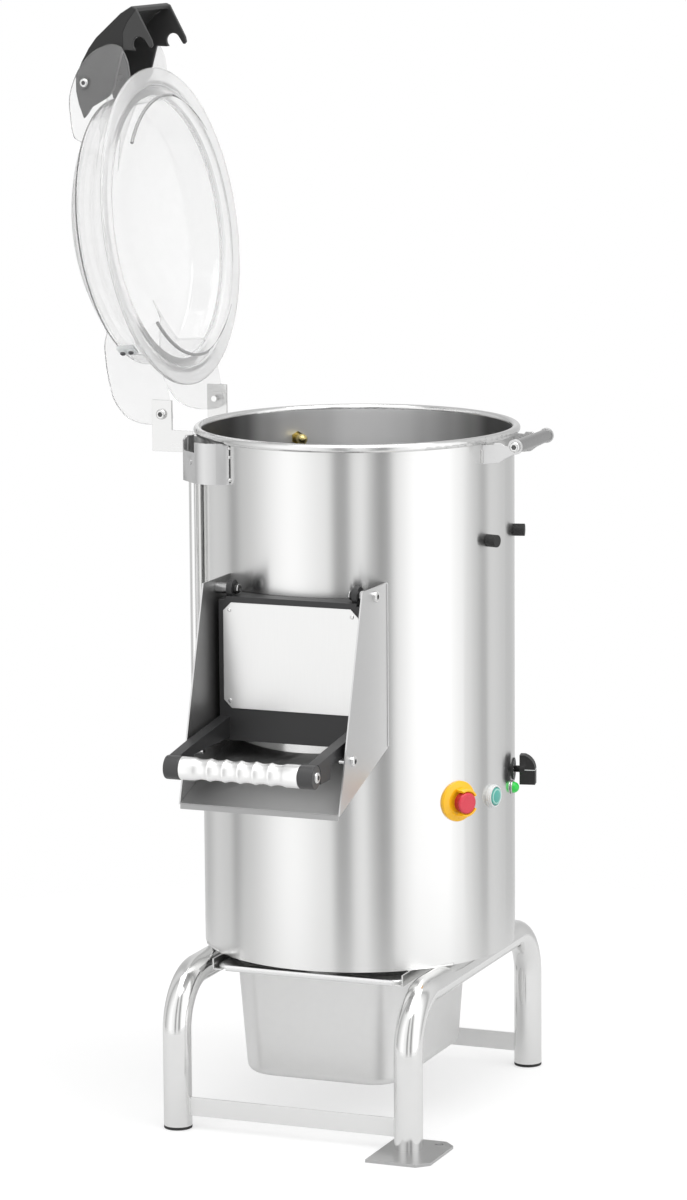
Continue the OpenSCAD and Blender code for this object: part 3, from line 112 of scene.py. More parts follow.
class Tree:
    """A short way to build a node tree: add() makes a node and links or sets its inputs."""

    def __init__(self, tree):
        self.tree = tree
        tree.nodes.clear()

    def join(self, value, socket):
        if isinstance(value, bpy.types.NodeSocket):
            self.tree.links.new(value, socket)
        elif isinstance(value, bpy.types.Node):
            self.tree.links.new(value.outputs[0], socket)
        else:
            socket.default_value = value

    def add(self, kind, inputs=None, **settings):
        node = self.tree.nodes.new(kind)
        for key, value in settings.items():
            setattr(node, key, value)
        for key, value in (inputs or {}).items():
            self.join(value, node.inputs[key])
        return node

    def math(self, operation, a, b=0.0):
        return self.add("ShaderNodeMath", {0: a, 1: b}, operation=operation)

    def noise(self, scale, detail=2.0, stretch=(1, 1, 1)):
        """Noise in object space, squeezed along an axis by a large number in stretch."""
        place = self.add("ShaderNodeTexCoord")
        mapped = self.add("ShaderNodeMapping", {"Vector": place.outputs["Object"], "Scale": stretch})
        return self.add("ShaderNodeTexNoise", {"Vector": mapped, "Scale": scale, "Detail": detail})

    def between(self, value, low, high):
        """The middle range of a noise as a value from low to high."""
        return self.add("ShaderNodeMapRange", {"Value": value, "From Min": 0.3, "From Max": 0.7,
                                               "To Min": low, "To Max": high})

    def mix(self, factor, a, b):
        node = self.add("ShaderNodeMix", data_type="RGBA")
        self.join(factor, node.inputs[0])
        self.join(a, node.inputs[6])
        self.join(b, node.inputs[7])
        return node.outputs[2]

    def tinted(self, noise, colour, spread):
        """The colour, a little darker and lighter with the noise."""
        dark = [c * (1 - spread) for c in colour] + [1]
        light = [min(c * (1 + spread), 1) for c in colour] + [1]
        return self.mix(self.between(noise, 0, 1), dark, light)

    def ramp(self, factor, stops, mode="LINEAR"):
        node = self.add("ShaderNodeValToRGB", {"Fac": factor})
        node.color_ramp.interpolation = mode
        elements = node.color_ramp.elements
        for position, value in stops[1:-1]:
            elements.new(position)
        for element, (position, value) in zip(elements, stops):
            element.position = position
            element.color = (value, value, value, 1)
        return node

    def surface(self, inputs):
        shader = self.add("ShaderNodeBsdfPrincipled", inputs)
        self.add("ShaderNodeOutputMaterial", {"Surface": shader})
        return shader


def new_material(name):
    material = bpy.data.materials.new(name)
    material.use_nodes = True
    return material, Tree(material.node_tree)


def steel(name, colour, rough, grain=(260, 260, 260), depth=0.02, spread=0.012, ring=0.0, streak=0.008):
    """Sheet or tube. grain is the squeeze of the brush marks along each axis, and ring the
    anisotropy of a finish whose brush marks run round the drum's axis."""
    material, tree = new_material(name)
    marks = tree.noise(1.0, 5.0, grain)
    clouds = tree.noise(6.0, 4.0)
    smudges = tree.noise(23.0, 3.0)
    bump = tree.add("ShaderNodeBump", {"Strength": depth, "Distance": 0.0001, "Height": marks})
    base = tree.tinted(marks, colour, streak)
    shade = tree.mix(tree.between(clouds, 0, 1), [1 - spread] * 3 + [1], [1, 1, 1, 1])
    tone = tree.add("ShaderNodeMix", data_type="RGBA", blend_type="MULTIPLY")
    tree.join(1.0, tone.inputs[0])
    tree.join(base, tone.inputs[6])
    tree.join(shade, tone.inputs[7])
    rough_marks = tree.between(marks, rough * 0.99, rough * 1.01)
    rough_all = tree.math("ADD", rough_marks, tree.between(smudges, -0.004, 0.004))
    inputs = {"Base Color": tone.outputs[2], "Metallic": 1.0, "Roughness": rough_all, "Normal": bump}
    if ring:
        tangent = tree.add("ShaderNodeTangent", direction_type="RADIAL", axis="Z")
        inputs.update({"Anisotropic": ring, "Anisotropic Rotation": 0.25, "Tangent": tangent})
    tree.surface(inputs)
    return material


# The painted sheen on the drum's inside: how bright its colour is at an angle from the middle of a lobe; the
# two lobes face each other
PAINTED_SHEEN_LOBES = [(-90, 0.05), (-62, 0.05), (-47, 0.09), (-36, 0.34), (-26, 0.58), (-14, 0.80), (-5, 0.96), (2, 1.0),
         (16, 1.0), (26, 0.82), (40, 0.70), (50, 0.50), (60, 0.16), (70, 0.06), (90, 0.05)]
PAINTED_SHEEN_AZIMUTH = 99


def inner_sheet():
    """The drum's inner face, brushed round, with a painted sheen: its colour is bright and dark in two broad
    lobes.
    """
    material, tree = new_material("inner_sheet")
    place = tree.add("ShaderNodeTexCoord")
    split = tree.add("ShaderNodeSeparateXYZ", {"Vector": place.outputs["Object"]})
    azimuth = tree.math("ARCTAN2", split.outputs["Y"], split.outputs["X"])
    start = math.radians(PAINTED_SHEEN_AZIMUTH - 90)
    turn = tree.math("FRACT", tree.math("DIVIDE", tree.math("SUBTRACT", azimuth, start), math.pi))
    painted_sheen = tree.ramp(turn, [((a + 90) / 180, v) for a, v in PAINTED_SHEEN_LOBES], "EASE")
    marks = tree.noise(1.0, 4.0, (6, 6, 1400))
    rough = tree.between(marks, 0.34, 0.36)
    tree.surface({"Base Color": painted_sheen.outputs[0], "Metallic": 0.55, "Roughness": rough})
    return material


def plastic(name, colour, rough, grain=900.0, depth=0.2, spread=0.06, coat=0.0, glow=0.0):
    """Moulded plastic, rubber or paint with a fine texture."""
    material, tree = new_material(name)
    fine = tree.noise(grain, 2.0)
    clouds = tree.noise(14.0, 3.0)
    bump = tree.add("ShaderNodeBump", {"Strength": depth, "Distance": 0.0001, "Height": fine})
    tree.surface({"Base Color": tree.tinted(clouds, colour, spread), "Coat Weight": coat, "Normal": bump,
                  "Roughness": tree.between(clouds, rough * 0.88, rough * 1.12),
                  "Emission Color": list(colour) + [1], "Emission Strength": glow})
    return material


def clear_moulding(name, tint=(0.965, 0.965, 0.965), clear=0.93, bend=1.49):
    """Clear plastic with a slight haze and faint scuffs."""
    material, tree = new_material(name)
    scuffs = tree.noise(90.0, 3.0)
    waves = tree.noise(7.0, 2.0)
    ripple = tree.add("ShaderNodeBump", {"Strength": 0.02, "Distance": 0.0004, "Height": waves})
    tree.surface({"Base Color": tree.tinted(scuffs, tint, 0.01), "Transmission Weight": clear, "IOR": bend,
                  "Roughness": tree.between(scuffs, 0.018, 0.026), "Normal": ripple})
    return material


def grit(name):
    """Coarse abrasive: dark grains with pale facets."""
    material, tree = new_material(name)
    place = tree.add("ShaderNodeTexCoord")
    cells = tree.add("ShaderNodeTexVoronoi", {"Vector": place.outputs["Object"], "Scale": 420.0})
    height = cells.outputs["Distance"]
    bump = tree.add("ShaderNodeBump", {"Strength": 1.0, "Distance": 0.0015, "Height": height})
    sparkle = tree.ramp(cells.outputs["Color"], [(0.0, 0.0), (0.75, 0.1), (1.0, 1.0)])
    tree.surface({"Base Color": tree.mix(sparkle, (0.055, 0.055, 0.06, 1), (0.4, 0.4, 0.41, 1)),
                  "Roughness": tree.between(height, 0.55, 0.85), "Normal": bump})
    return material


def make_materials():
    return {
        "brushed_sheet": steel("brushed_sheet", (0.80, 0.80, 0.795), 0.23, (5, 5, 2200), 0.0008, 0.006,
                               0.8, 0.002),
        "plain_sheet": steel("plain_sheet", (0.76, 0.76, 0.755), 0.27, (60, 60, 900), 0.004),
        "grey_sheet": steel("grey_sheet", (0.68, 0.68, 0.68), 0.36, (30, 30, 900), 0.004),
        "satin_tube": steel("satin_tube", (0.86, 0.86, 0.855), 0.13, (90, 90, 90), 0.006),
        "pan_steel": steel("pan_steel", (0.85, 0.85, 0.845), 0.36, (90, 90, 90), 0.008),
        "bright_steel": steel("bright_steel", (0.80, 0.80, 0.80), 0.13, (90, 90, 90), 0.01),
        "cast_iron": plastic("cast_iron", (0.12, 0.12, 0.125), 0.6, 500.0, 0.5, 0.15),
        "cast_aluminium": steel("cast_aluminium", (0.96, 0.96, 0.955), 0.34, (90, 90, 90), 0.008),
        "abrasive": grit("abrasive"),
        "motor_paint": plastic("motor_paint", (0.10, 0.19, 0.30), 0.35, 260.0, 0.25, 0.05, 0.3),
        "brass": steel("brass", (0.60, 0.50, 0.22), 0.24, (300, 300, 300), 0.02, 0.05),
        "clear_plastic": clear_moulding("clear_plastic"),
        "black_plastic": plastic("black_plastic", (0.010, 0.010, 0.010), 0.42),
        "charcoal_plastic": plastic("charcoal_plastic", (0.026, 0.026, 0.027), 0.42),
        "grey_plastic": plastic("grey_plastic", (0.80, 0.82, 0.82), 0.30),
        "black_rubber": plastic("black_rubber", (0.02, 0.02, 0.02), 0.6, 700.0, 0.3),
        # The yellow plastic gives off a little light of its own colour: painted light
        "yellow_plastic": plastic("yellow_plastic", (0.95, 0.52, 0.01), 0.3, 600.0, 0.1, 0.03, 0.3, 0.12),
        "red_plastic": plastic("red_plastic", (0.76, 0.035, 0.07), 0.28, 600.0, 0.1, 0.04, 0.3),
        "green_plastic": plastic("green_plastic", (0.10, 0.47, 0.40), 0.3, 600.0, 0.1, 0.04, 0.3),
        "green_lens": plastic("green_lens", (0.02, 0.50, 0.06), 0.22, 300.0, 0.05, 0.1, 0.2, 0.3),
    }


def paint_nodes():
    """Gives every CAD node the detailed material of its slot."""
    for node, slot in slot_of.items():
        mesh = nodes[node].data
        mesh.materials.clear()
        mesh.materials.append(MATERIALS[slot])


# Pieces

def add_piece(name, sheet, body, slot, replaces=(), smooth=35, material=None):
    """Makes an object from a bmesh, lets it ride on its body and gives it its finish."""
    mesh = bpy.data.meshes.new(name)
    sheet.to_mesh(mesh)
    sheet.free()
    mesh.shade_smooth()
    mesh.set_sharp_from_angle(angle=math.radians(smooth))
    mesh.materials.append(material or MATERIALS[slot])
    piece = bpy.data.objects.new(name, mesh)
    bpy.context.scene.collection.objects.link(piece)
    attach(piece, body)
    if replaces:
        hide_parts(*replaces)
    return piece


def round_edges(piece, width, segments=2, angle=40):
    bevel = piece.modifiers.new("rounded", "BEVEL")
    bevel.width = width * MM
    bevel.segments = segments
    bevel.limit_method = "ANGLE"
    bevel.angle_limit = math.radians(angle)
    bevel.harden_normals = True
    return piece


def dress(node, width, segments=2, smooth=35, material=None):
    """A copy of a CAD node's shape with its edges rounded, which stands for the node."""
    sheet = bmesh.new()
    sheet.from_mesh(nodes[node].data)
    bmesh.ops.remove_doubles(sheet, verts=sheet.verts, dist=0.02 * MM)
    bmesh.ops.dissolve_limit(sheet, angle_limit=math.radians(0.4), verts=sheet.verts, edges=sheet.edges)
    piece = add_piece(node + "_form", sheet, body_of[node], slot_of[node], [node], smooth, material)
    return round_edges(piece, width, segments)


def refinish(piece, material, test):
    """Gives the faces that pass the test another finish."""
    piece.data.materials.append(material)
    for face in piece.data.polygons:
        if test(face):
            face.material_index = 1


def skin(sheet, rings, closed_path=False):
    """Joins rings of points, each with the same count, with faces."""
    rows = [[sheet.verts.new(p) for p in ring] for ring in rings]
    count = len(rows[0])
    pairs = list(zip(rows, rows[1:])) + ([(rows[-1], rows[0])] if closed_path else [])
    for a, b in pairs:
        for i in range(count):
            j = (i + 1) % count
            sheet.faces.new((a[i], a[j], b[j], b[i]))
    return rows


def lathe(sheet, profile, segments=96, place=Matrix(), start=0.0, turn=360.0):
    """Turns a profile of (radius, height) points in mm about the z axis of place."""
    whole = turn >= 360
    steps = segments if whole else segments + 1
    angles = [math.radians(start + turn * i / segments) for i in range(steps)]
    closed = profile[0] == profile[-1]
    outline = profile[:-1] if closed else profile
    columns = []
    for a in angles:
        ring = [place @ (Vector((r * math.cos(a), r * math.sin(a), z)) * MM) for r, z in outline]
        columns.append([sheet.verts.new(p) for p in ring])
    count = len(outline)
    pairs = list(zip(columns, columns[1:])) + ([(columns[-1], columns[0])] if whole else [])
    for a, b in pairs:
        for i in range(count if closed else count - 1):
            j = (i + 1) % count
            sheet.faces.new((a[i], b[i], b[j], a[j]))
    if not whole and closed:
        sheet.faces.new(columns[0])
        sheet.faces.new(reversed(columns[-1]))
    bmesh.ops.remove_doubles(sheet, verts=sheet.verts, dist=0.001 * MM)
    bmesh.ops.recalc_face_normals(sheet, faces=sheet.faces)


def filleted(points, radius, steps=5):
    """A closed outline with its corners rounded. A third number in a point is its own radius."""
    result = []
    count = len(points)
    for i in range(count):
        before, here, after = (Vector(points[k % count][:2]) for k in (i - 1, i, i + 1))
        r = points[i][2] if len(points[i]) > 2 else radius
        a = (before - here).normalized()
        b = (after - here).normalized()
        half = a.angle(b) / 2
        reach = min(r / math.tan(half), (before - here).length * 0.45, (after - here).length * 0.45)
        if reach < 0.01 or half > math.radians(88):
            result.append(tuple(here))
            continue
        start, end = here + a * reach, here + b * reach
        for k in range(steps + 1):
            t = k / steps
            result.append(tuple(start * (1 - t) ** 2 + here * 2 * t * (1 - t) + end * t ** 2))
    return result + result[:1]


def prism(sheet, outline, to_point, low, high):
    """A plate: the closed outline at two levels, with both ends capped."""
    points = outline[:-1] if outline[0] == outline[-1] else outline
    rows = [[sheet.verts.new(to_point(u, v, level) * MM) for u, v in points] for level in (low, high)]
    count = len(points)
    for i in range(count):
        j = (i + 1) % count
        sheet.faces.new((rows[0][i], rows[0][j], rows[1][j], rows[1][i]))
    sheet.faces.new(reversed(rows[0]))
    sheet.faces.new(rows[1])


def axis_place(at, axis):
    """A place at a point in mm whose z axis points along axis."""
    turn = Vector(axis).to_track_quat("Z", "Y").to_matrix().to_4x4()
    return Matrix.Translation(Vector(at) * MM) @ turn


def on_wall(angle, z, out=0.0):
    a = math.radians(angle)
    r = DRUM_R + out
    return axis_place((r * math.cos(a), r * math.sin(a), z), (math.cos(a), math.sin(a), 0))


OPEN_LID = (Matrix.Translation(Vector(HINGE) * MM) @ Matrix.Rotation(math.radians(-LID_OPEN), 4, "Y")
            @ Matrix.Translation(-Vector(HINGE) * MM))


# Small parts

SOCKET_SHARE = 0.5
HEAD_SIDES = 48
# The crown of a head from its foot to its socket, as shares of its radius and height
CROWN = [(1.0, 0.0), (1.0, 0.35), (0.96, 0.62), (0.86, 0.84), (0.72, 0.97), (SOCKET_SHARE + 0.1, 1.0)]


def hexagon(angle):
    """How far out a hexagon's edge lies at an angle, as a share of its corners' distance."""
    return math.cos(math.pi / 6) / math.cos((angle % (math.pi / 3)) - math.pi / 6)


def domed_head(name, body, at, axis, r, h, slot="plain_sheet", floor=3.1):
    """A round screw head with a hexagon socket, over the plain head of the CAD model.
    floor is the height of the socket's floor, just above the CAD head that it covers."""
    place = axis_place(at, axis)
    circle = [2 * math.pi * i / HEAD_SIDES for i in range(HEAD_SIDES)]
    loops = []
    for share, lift in CROWN:
        loops.append([place @ (Vector((r * share * math.cos(a), r * share * math.sin(a), h * lift)) * MM)
                      for a in circle])
    socket = [(r * SOCKET_SHARE * hexagon(a) * math.cos(a), r * SOCKET_SHARE * hexagon(a) * math.sin(a))
              for a in circle]
    for z in (h * 0.98, floor):
        loops.append([place @ (Vector((x, y, z)) * MM) for x, y in socket])
    sheet = bmesh.new()
    rows = skin(sheet, loops)
    recess = [f for f in sheet.faces if all(v in rows[-1] or v in rows[-2] for v in f.verts)]
    recess.append(sheet.faces.new(rows[-1]))
    sheet.faces.new(reversed(rows[0]))
    # The socket's faces take a dark grey: painted shade in the recess
    for face in recess:
        face.material_index = 1
    bmesh.ops.recalc_face_normals(sheet, faces=sheet.faces)
    piece = add_piece(name, sheet, body, slot, smooth=40)
    piece.data.materials.append(RECESS_PAINTED_SHADE)
    return piece


def weld_bead(name, body, path, r, slot="plain_sheet"):
    """A weld seam: overlapping ripples along a path in mm."""
    sheet = bmesh.new()
    count = 12
    rings = []
    points = [Vector(p) for p in path]
    total = sum((b - a).length for a, b in zip(points, points[1:]))
    steps = max(8, int(total / (r * 0.35)))
    for k in range(steps + 1):
        along = total * k / steps
        for a, b in zip(points, points[1:]):
            length = (b - a).length
            if along <= length + 1e-6:
                break
            along -= length
        centre = a.lerp(b, min(along / length, 1))
        ahead = (b - a).normalized()
        side = ahead.cross(Vector((0, 0, 1)))
        if side.length < 0.1:
            side = ahead.cross(Vector((1, 0, 0)))
        side.normalize()
        up = side.cross(ahead)
        ripple = r * (0.86 + 0.14 * abs(math.sin(k * 1.1)))
        ends = min(1, 0.35 + min(k, steps - k) * 0.3)
        rings.append([(centre + (side * math.cos(t) + up * math.sin(t)) * ripple * ends) * MM
                      for t in (2 * math.pi * i / count for i in range(count))])
    rows = skin(sheet, rings)
    sheet.faces.new(reversed(rows[0]))
    sheet.faces.new(rows[-1])
    bmesh.ops.recalc_face_normals(sheet, faces=sheet.faces)
    return add_piece(name, sheet, body, slot, smooth=60)


def arc_path(r, z, start, end, steps=12):
    return [(r * math.cos(math.radians(start + (end - start) * i / steps)),
             r * math.sin(math.radians(start + (end - start) * i / steps)), z) for i in range(steps + 1)]


MAGNET_ANGLE = -145
MAGNET_OUT = 190
MAGNET_Z = 952.5
MAGNET_SCREWS = (6, 18)
SEAM_ANGLE = -120.7
FACE_SCREW_X = 86
FACE_SCREW_Y = -236.4
FACE_SCREW_LEVELS = ((581, "low"), (701, "high"))
# Radius and height of a head
BIG_HEAD = (7.2, 4.8)
SMALL_HEAD = (6.4, 4.8)


def make_screws():
    """The heads at the chute's pivot and stud, the door's grip, the lid's hinge and the catch rod."""
    fixed = "frame_and_drum"
    for side, word in ((-1, "left"), (1, "right")):
        out = (side, 0, 0)
        domed_head("chute_pivot_head_" + word, fixed, (side * CHUTE_OUT, *DOOR_PIVOT), out, *BIG_HEAD)
        domed_head("chute_stud_head_" + word, fixed, (side * CHUTE_OUT, *DOOR_STUD), out, *BIG_HEAD)
        domed_head("door_pivot_head_" + word, fixed, (side * BUSH_IN, *DOOR_PIVOT), (-side, 0, 0), 6.4, 8,
                   "black_plastic", 6.1)
        domed_head("grip_end_head_" + word, "door", (side * GRIP_END, *GRIP_AT), out, 7.2, 3.2, floor=1.6)
    for side, word in ((-1, "front"), (1, "back")):
        out = (0, side, 0)
        hinge_pin = (HINGE[0], side * HINGE_OUT, HINGE[2])
        rod_end = (CATCH_ROD[0], side * CATCH_OUT, CATCH_ROD[1])
        domed_head("hinge_head_" + word, fixed, hinge_pin, out, *BIG_HEAD)
        domed_head("catch_head_" + word, fixed, rod_end, out, *BIG_HEAD)


def make_small_screws():
    """The heads at the face plate's corners, the latch's pivot and the magnet's block."""
    for x in (-FACE_SCREW_X, FACE_SCREW_X):
        for z, word in FACE_SCREW_LEVELS:
            name = "face_screw_%s_%s" % ("left" if x < 0 else "right", word)
            domed_head(name, "door", (x, FACE_SCREW_Y, z), (0, -1, 0), 2.7, 1.4, floor=0.5)
    x, y, z = LATCH_SCREW
    for side, word in ((-1, "front"), (1, "back")):
        domed_head("latch_head_" + word, "lid", (x, side * y, z), (0, side, 0), *SMALL_HEAD)
    turn = math.radians(MAGNET_ANGLE)
    out = Vector((math.cos(turn), math.sin(turn), 0))
    for lift in MAGNET_SCREWS:
        at = OPEN_LID @ (Vector((MAGNET_OUT * out.x, MAGNET_OUT * out.y, MAGNET_Z + lift)) * MM)
        aim = OPEN_LID.to_3x3() @ out
        domed_head("magnet_screw_%d" % lift, "lid", at / MM, aim, 3.6, 2.4, "cast_iron", 0.5)


WELD_SPOTS = (905, 893, 863)
WELD_SPOT_R = 2.6
SEAM_LEVELS = (859, 909)


def make_pocket_welds():
    """Three weld spots and the dark seam along the switch pocket's front edge."""
    turn = math.radians(SEAM_ANGLE)
    for z in WELD_SPOTS:
        sheet = bmesh.new()
        bmesh.ops.create_uvsphere(sheet, u_segments=20, v_segments=12, radius=WELD_SPOT_R * MM)
        spot = Vector(((DRUM_R + 0.6) * math.cos(turn), (DRUM_R + 0.6) * math.sin(turn), z)) * MM
        bmesh.ops.translate(sheet, verts=sheet.verts, vec=spot)
        add_piece("pocket_weld_%d" % z, sheet, "frame_and_drum", "plain_sheet", smooth=60)
    sheet = bmesh.new()
    a, b = math.radians(SEAM_ANGLE - 0.22), math.radians(SEAM_ANGLE + 0.22)
    low, high = DRUM_R + 0.02, DRUM_R + 0.5
    outline = [(r * math.cos(t), r * math.sin(t)) for r, t in ((low, a), (high, a), (high, b), (low, b))]
    prism(sheet, outline, lambda x, y, z: Vector((x, y, z)), *SEAM_LEVELS)
    bmesh.ops.recalc_face_normals(sheet, faces=sheet.faces)
    add_piece("pocket_seam", sheet, "frame_and_drum", "black_rubber")


def make_welds():
    """The seams at the stand, the chute, the cross bars and the plates, and down the drum's back."""
    body = "frame_and_drum"
    for side, word in ((-1, "left"), (1, "right")):
        for start, place in ((32, "back"), (-47, "front")):
            angles = (start, start + 15) if side > 0 else (180 - start, 165 - start)
            weld_bead("stand_weld_%s_%s" % (word, place), body,
                      arc_path(DRUM_R - 1, DRUM_BOTTOM + 1, *angles), 2.2, "satin_tube")
        weld_bead("chute_weld_" + word, body, [(side * 112.4, -178.6, 522), (side * 112.4, -178.6, 738)],
                  1.1, "grey_sheet")
        for y, place in ((-LEG_FRONT, "front"), (LEG_BACK, "back")):
            for face in (-1, 1):
                x = side * (FRAME_X - TUBE_R + 0.6)
                weld_bead("bar_weld_%s_%s_%s" % (word, place, "out" if face * y > 0 else "in"), body,
                          [(x, y + face * 2.6, 19), (x, y + face * 2.6, 42)], 1.5, "satin_tube")
    for side, word in ((-1, "front"), (1, "back")):
        weld_bead("hinge_weld_" + word, body, [(-187.5, side * 95, 886), (-187.5, side * 95, 900)], 1.3)
        weld_bead("catch_weld_" + word, body, [(201, side * 63.4, 884), (201, side * 63.4, 901)], 1.3)
    weld_bead("drum_seam", body, [(0, DRUM_R + 0.1, DRUM_BOTTOM + 2), (0, DRUM_R + 0.1, DRUM_TOP - 12)],
              0.7, "brushed_sheet")


# The peel pan: a pressed pan with a soft bottom edge and a rolled rim

PAN_X = 132.5
PAN_FRONT = -187
PAN_BACK = 138
PAN_TOP = 211
PAN_DEPTH = 155
PAN_FLANGE = 13
PAN_CORNER = 38
PAN_TAPER = 9
PAN_BOTTOM_R = 14
PAN_WALL = 1.2
HEM_DROP = 8
HEM_T = 4
HEM_HALF = 119


def rounded_rectangle(inset, z, corner, per_corner=12):
    """A ring of points round the pan, in mm, drawn in from its rim by inset."""
    points = []
    x = PAN_X - inset
    y0, y1 = PAN_FRONT + inset, PAN_BACK - inset
    corners = ((x - corner, y1 - corner, 0), (-x + corner, y1 - corner, 90),
               (-x + corner, y0 + corner, 180), (x - corner, y0 + corner, 270))
    for cx, cy, start in corners:
        for i in range(per_corner + 1):
            a = math.radians(start + 90 * i / per_corner)
            points.append(Vector((cx + corner * math.cos(a), cy + corner * math.sin(a), z)) * MM)
    return points


def make_pan():
    """The pressed pan, from its turned-down rim round the bottom's soft edge, and its front hem."""
    low = PAN_TOP - PAN_DEPTH
    rim = 2.2
    outer = [(rim * 0.3, PAN_TOP - 5, 12), (0, PAN_TOP - 3.2, 13), (0.2, PAN_TOP - 1.4, 13),
             (1.2, PAN_TOP - 0.3, 13), (rim, PAN_TOP, 13)]
    inner = [(PAN_FLANGE - 3, PAN_TOP, 35), (PAN_FLANGE + 1, PAN_TOP - 0.6, 37),
             (PAN_FLANGE + PAN_WALL + 1, PAN_TOP - 4, PAN_CORNER)]
    steps = 6
    wall = PAN_FLANGE + PAN_TAPER
    angles = [math.pi / 2 * k / steps for k in range(steps + 1)]
    curve = [(math.sin(a), 1 - math.cos(a)) for a in angles]
    for lift, draw in [(PAN_BOTTOM_R * (1 - s), PAN_BOTTOM_R * c) for s, c in curve]:
        inner.append((wall + PAN_WALL + draw, low + PAN_WALL + lift, PAN_CORNER - PAN_WALL - draw * 0.5))
    under = [(wall + draw, low + lift, PAN_CORNER - draw * 0.5)
             for lift, draw in [(PAN_BOTTOM_R * (1 - s), PAN_BOTTOM_R * c) for s, c in reversed(curve)]]
    back = [(PAN_FLANGE + 0.6, PAN_TOP - 4, PAN_CORNER), (PAN_FLANGE - 1.4, PAN_TOP - PAN_WALL, 36),
            (rim, PAN_TOP - PAN_WALL, 13), (PAN_WALL, PAN_TOP - 2.4, 12), (PAN_WALL, PAN_TOP - 5, 12)]
    sheet = bmesh.new()
    upper = skin(sheet, [rounded_rectangle(*level) for level in outer + inner])
    lower = skin(sheet, [rounded_rectangle(*level) for level in under + back])
    sheet.faces.new(upper[-1])
    sheet.faces.new(lower[0])
    for i in range(len(upper[0])):
        j = (i + 1) % len(upper[0])
        sheet.faces.new((upper[0][i], upper[0][j], lower[-1][j], lower[-1][i]))
    bmesh.ops.recalc_face_normals(sheet, faces=sheet.faces)
    add_piece("pan_pressing", sheet, "pan", "pan_steel", ["peel_pan"], smooth=50)
    sheet = bmesh.new()
    hem = filleted([(HEM_DROP / 2, HEM_T / 2, 1.4), (-HEM_DROP / 2, HEM_T / 2, 1.4),
                    (-HEM_DROP / 2, -HEM_T / 2, 1.4), (HEM_DROP / 2, -HEM_T / 2, 1.4)], 1.4, 5)
    prism(sheet, hem, lambda u, v, x: Vector((x, PAN_FRONT + HEM_T / 2 + v, PAN_TOP - HEM_DROP / 2 + u)),
          -HEM_HALF, HEM_HALF)
    bmesh.ops.recalc_face_normals(sheet, faces=sheet.faces)
    add_piece("pan_front_hem", sheet, "pan", "bright_steel", smooth=50)


RUNNER_IN = 134
RUNNER_T = 2
RUNNER_LIP = 11
RUNNER_LOW = 204.7
RUNNER_FRONT = -191
RUNNER_BACK = 140
RUNNER_UNDER_DRUM = -158


def make_runners():
    """The pan's channels: the lip and the web reach the front, the top flange starts under the drum."""
    sheet = bmesh.new()
    for side in (-1, 1):
        for x0, x1, y0, z0, z1 in (
                (RUNNER_IN, RUNNER_IN + RUNNER_T, RUNNER_FRONT, RUNNER_LOW, DRUM_BOTTOM),
                (RUNNER_IN - RUNNER_LIP, RUNNER_IN, RUNNER_FRONT, RUNNER_LOW, RUNNER_LOW + RUNNER_T),
                (RUNNER_IN - RUNNER_LIP, RUNNER_IN, RUNNER_UNDER_DRUM, DRUM_BOTTOM - RUNNER_T, DRUM_BOTTOM)):
            outline = [(side * x0, z0), (side * x1, z0), (side * x1, z1), (side * x0, z1)]
            prism(sheet, outline, lambda x, z, y: Vector((x, y, z)), y0, RUNNER_BACK)
    bmesh.ops.recalc_face_normals(sheet, faces=sheet.faces)
    piece = add_piece("runner_channels", sheet, "frame_and_drum", slot_of["pan_runners"], ["pan_runners"])
    round_edges(piece, 0.4)


# The lid: one clear moulding

FLANGE_TOP = 14
RIB_R = 175
RIB_Z = -13
RIB_BEAD = 4.2
RIB_TURN = 47
SHOULDER = 3
DOME_R = 180
WALL_H = 58
DOME_H = 60
LID_T = 4
BALL_R = (DOME_R ** 2 + DOME_H ** 2) / (2 * DOME_H)
BALL_Z = WALL_H + DOME_H - BALL_R
FIN_Y = 84
FIN_T = 5
FIN_LONG = 115
FIN_TALL = 87
EAR_Y = 58.3
EAR_T = 4
EAR_TIP = 252
EAR_LONG = 123.4
EAR_TALL = 100
# The outlines of a hinge fin and of a latch ear, as shares of their length and height
FIN = [(1, 0.914), (0.861, 0.983), (0.6, 1), (0.409, 0.989), (0.226, 0.954), (0.052, 0.833),
       (-0.043, 0.684), (-0.096, 0.5), (-0.122, 0.282), (-0.113, 0.109), (-0.061, 0.012), (0.061, 0), (1, 0)]
EAR = [(0, 0.895), (0.073, 0.995), (0.284, 1), (0.502, 0.971), (0.721, 0.835), (0.872, 0.671),
       (0.964, 0.485), (1, 0.265), (0.964, 0.145), (0.908, 0.095), (0.786, 0.05), (0, 0.05)]


def dome_arc(r, steps=18):
    """The dome's section from the axis out to its rounded shoulder, for a ball of radius r."""
    edge = math.asin((DOME_R - SHOULDER) / BALL_R)
    angles = [edge * k / steps for k in range(steps + 1)]
    return [(r * math.sin(a), BALL_Z + r * math.cos(a)) for a in angles]


def wall_radius(z):
    """The outer radius of the lid's moulding at a height above the rim."""
    if z > WALL_H:
        return math.sqrt(max(BALL_R ** 2 - (z - BALL_Z) ** 2, 1))
    if z > 13:
        return 186 - 6 * (z - 13) / (WALL_H - 13)
    return 196


def shoulder(start, corner, end, steps=8):
    """A soft curve from one point to another, pulled towards the corner between them."""
    a, b, c = Vector(start), Vector(corner), Vector(end)
    shares = [k / steps for k in range(steps + 1)]
    return [tuple(a * (1 - t) ** 2 + b * 2 * t * (1 - t) + c * t ** 2) for t in shares]


# The moulding's section: its outside from the rim up to the dome, and its inside back down
LID_OUTSIDE = [(191, 0), (213, 0), (214, 1), (214, 4), (213, 5), (199, 5), (197, 5.6), (195.6, 8),
               (194.6, 12), (193, 14.4), (188.5, 15.6), (186.6, 17.2), (185.8, 20), (183.8, 34), (182.2, 46)]
LID_INSIDE = [(177.4, 34), (177, 20), (176.4, 9), (176.6, 6), (177.6, 4.4), (179.6, 3.8), (188.6, 3.4),
              (189.8, 2.8), (190.4, 1)]
LID_SEGMENTS = 288


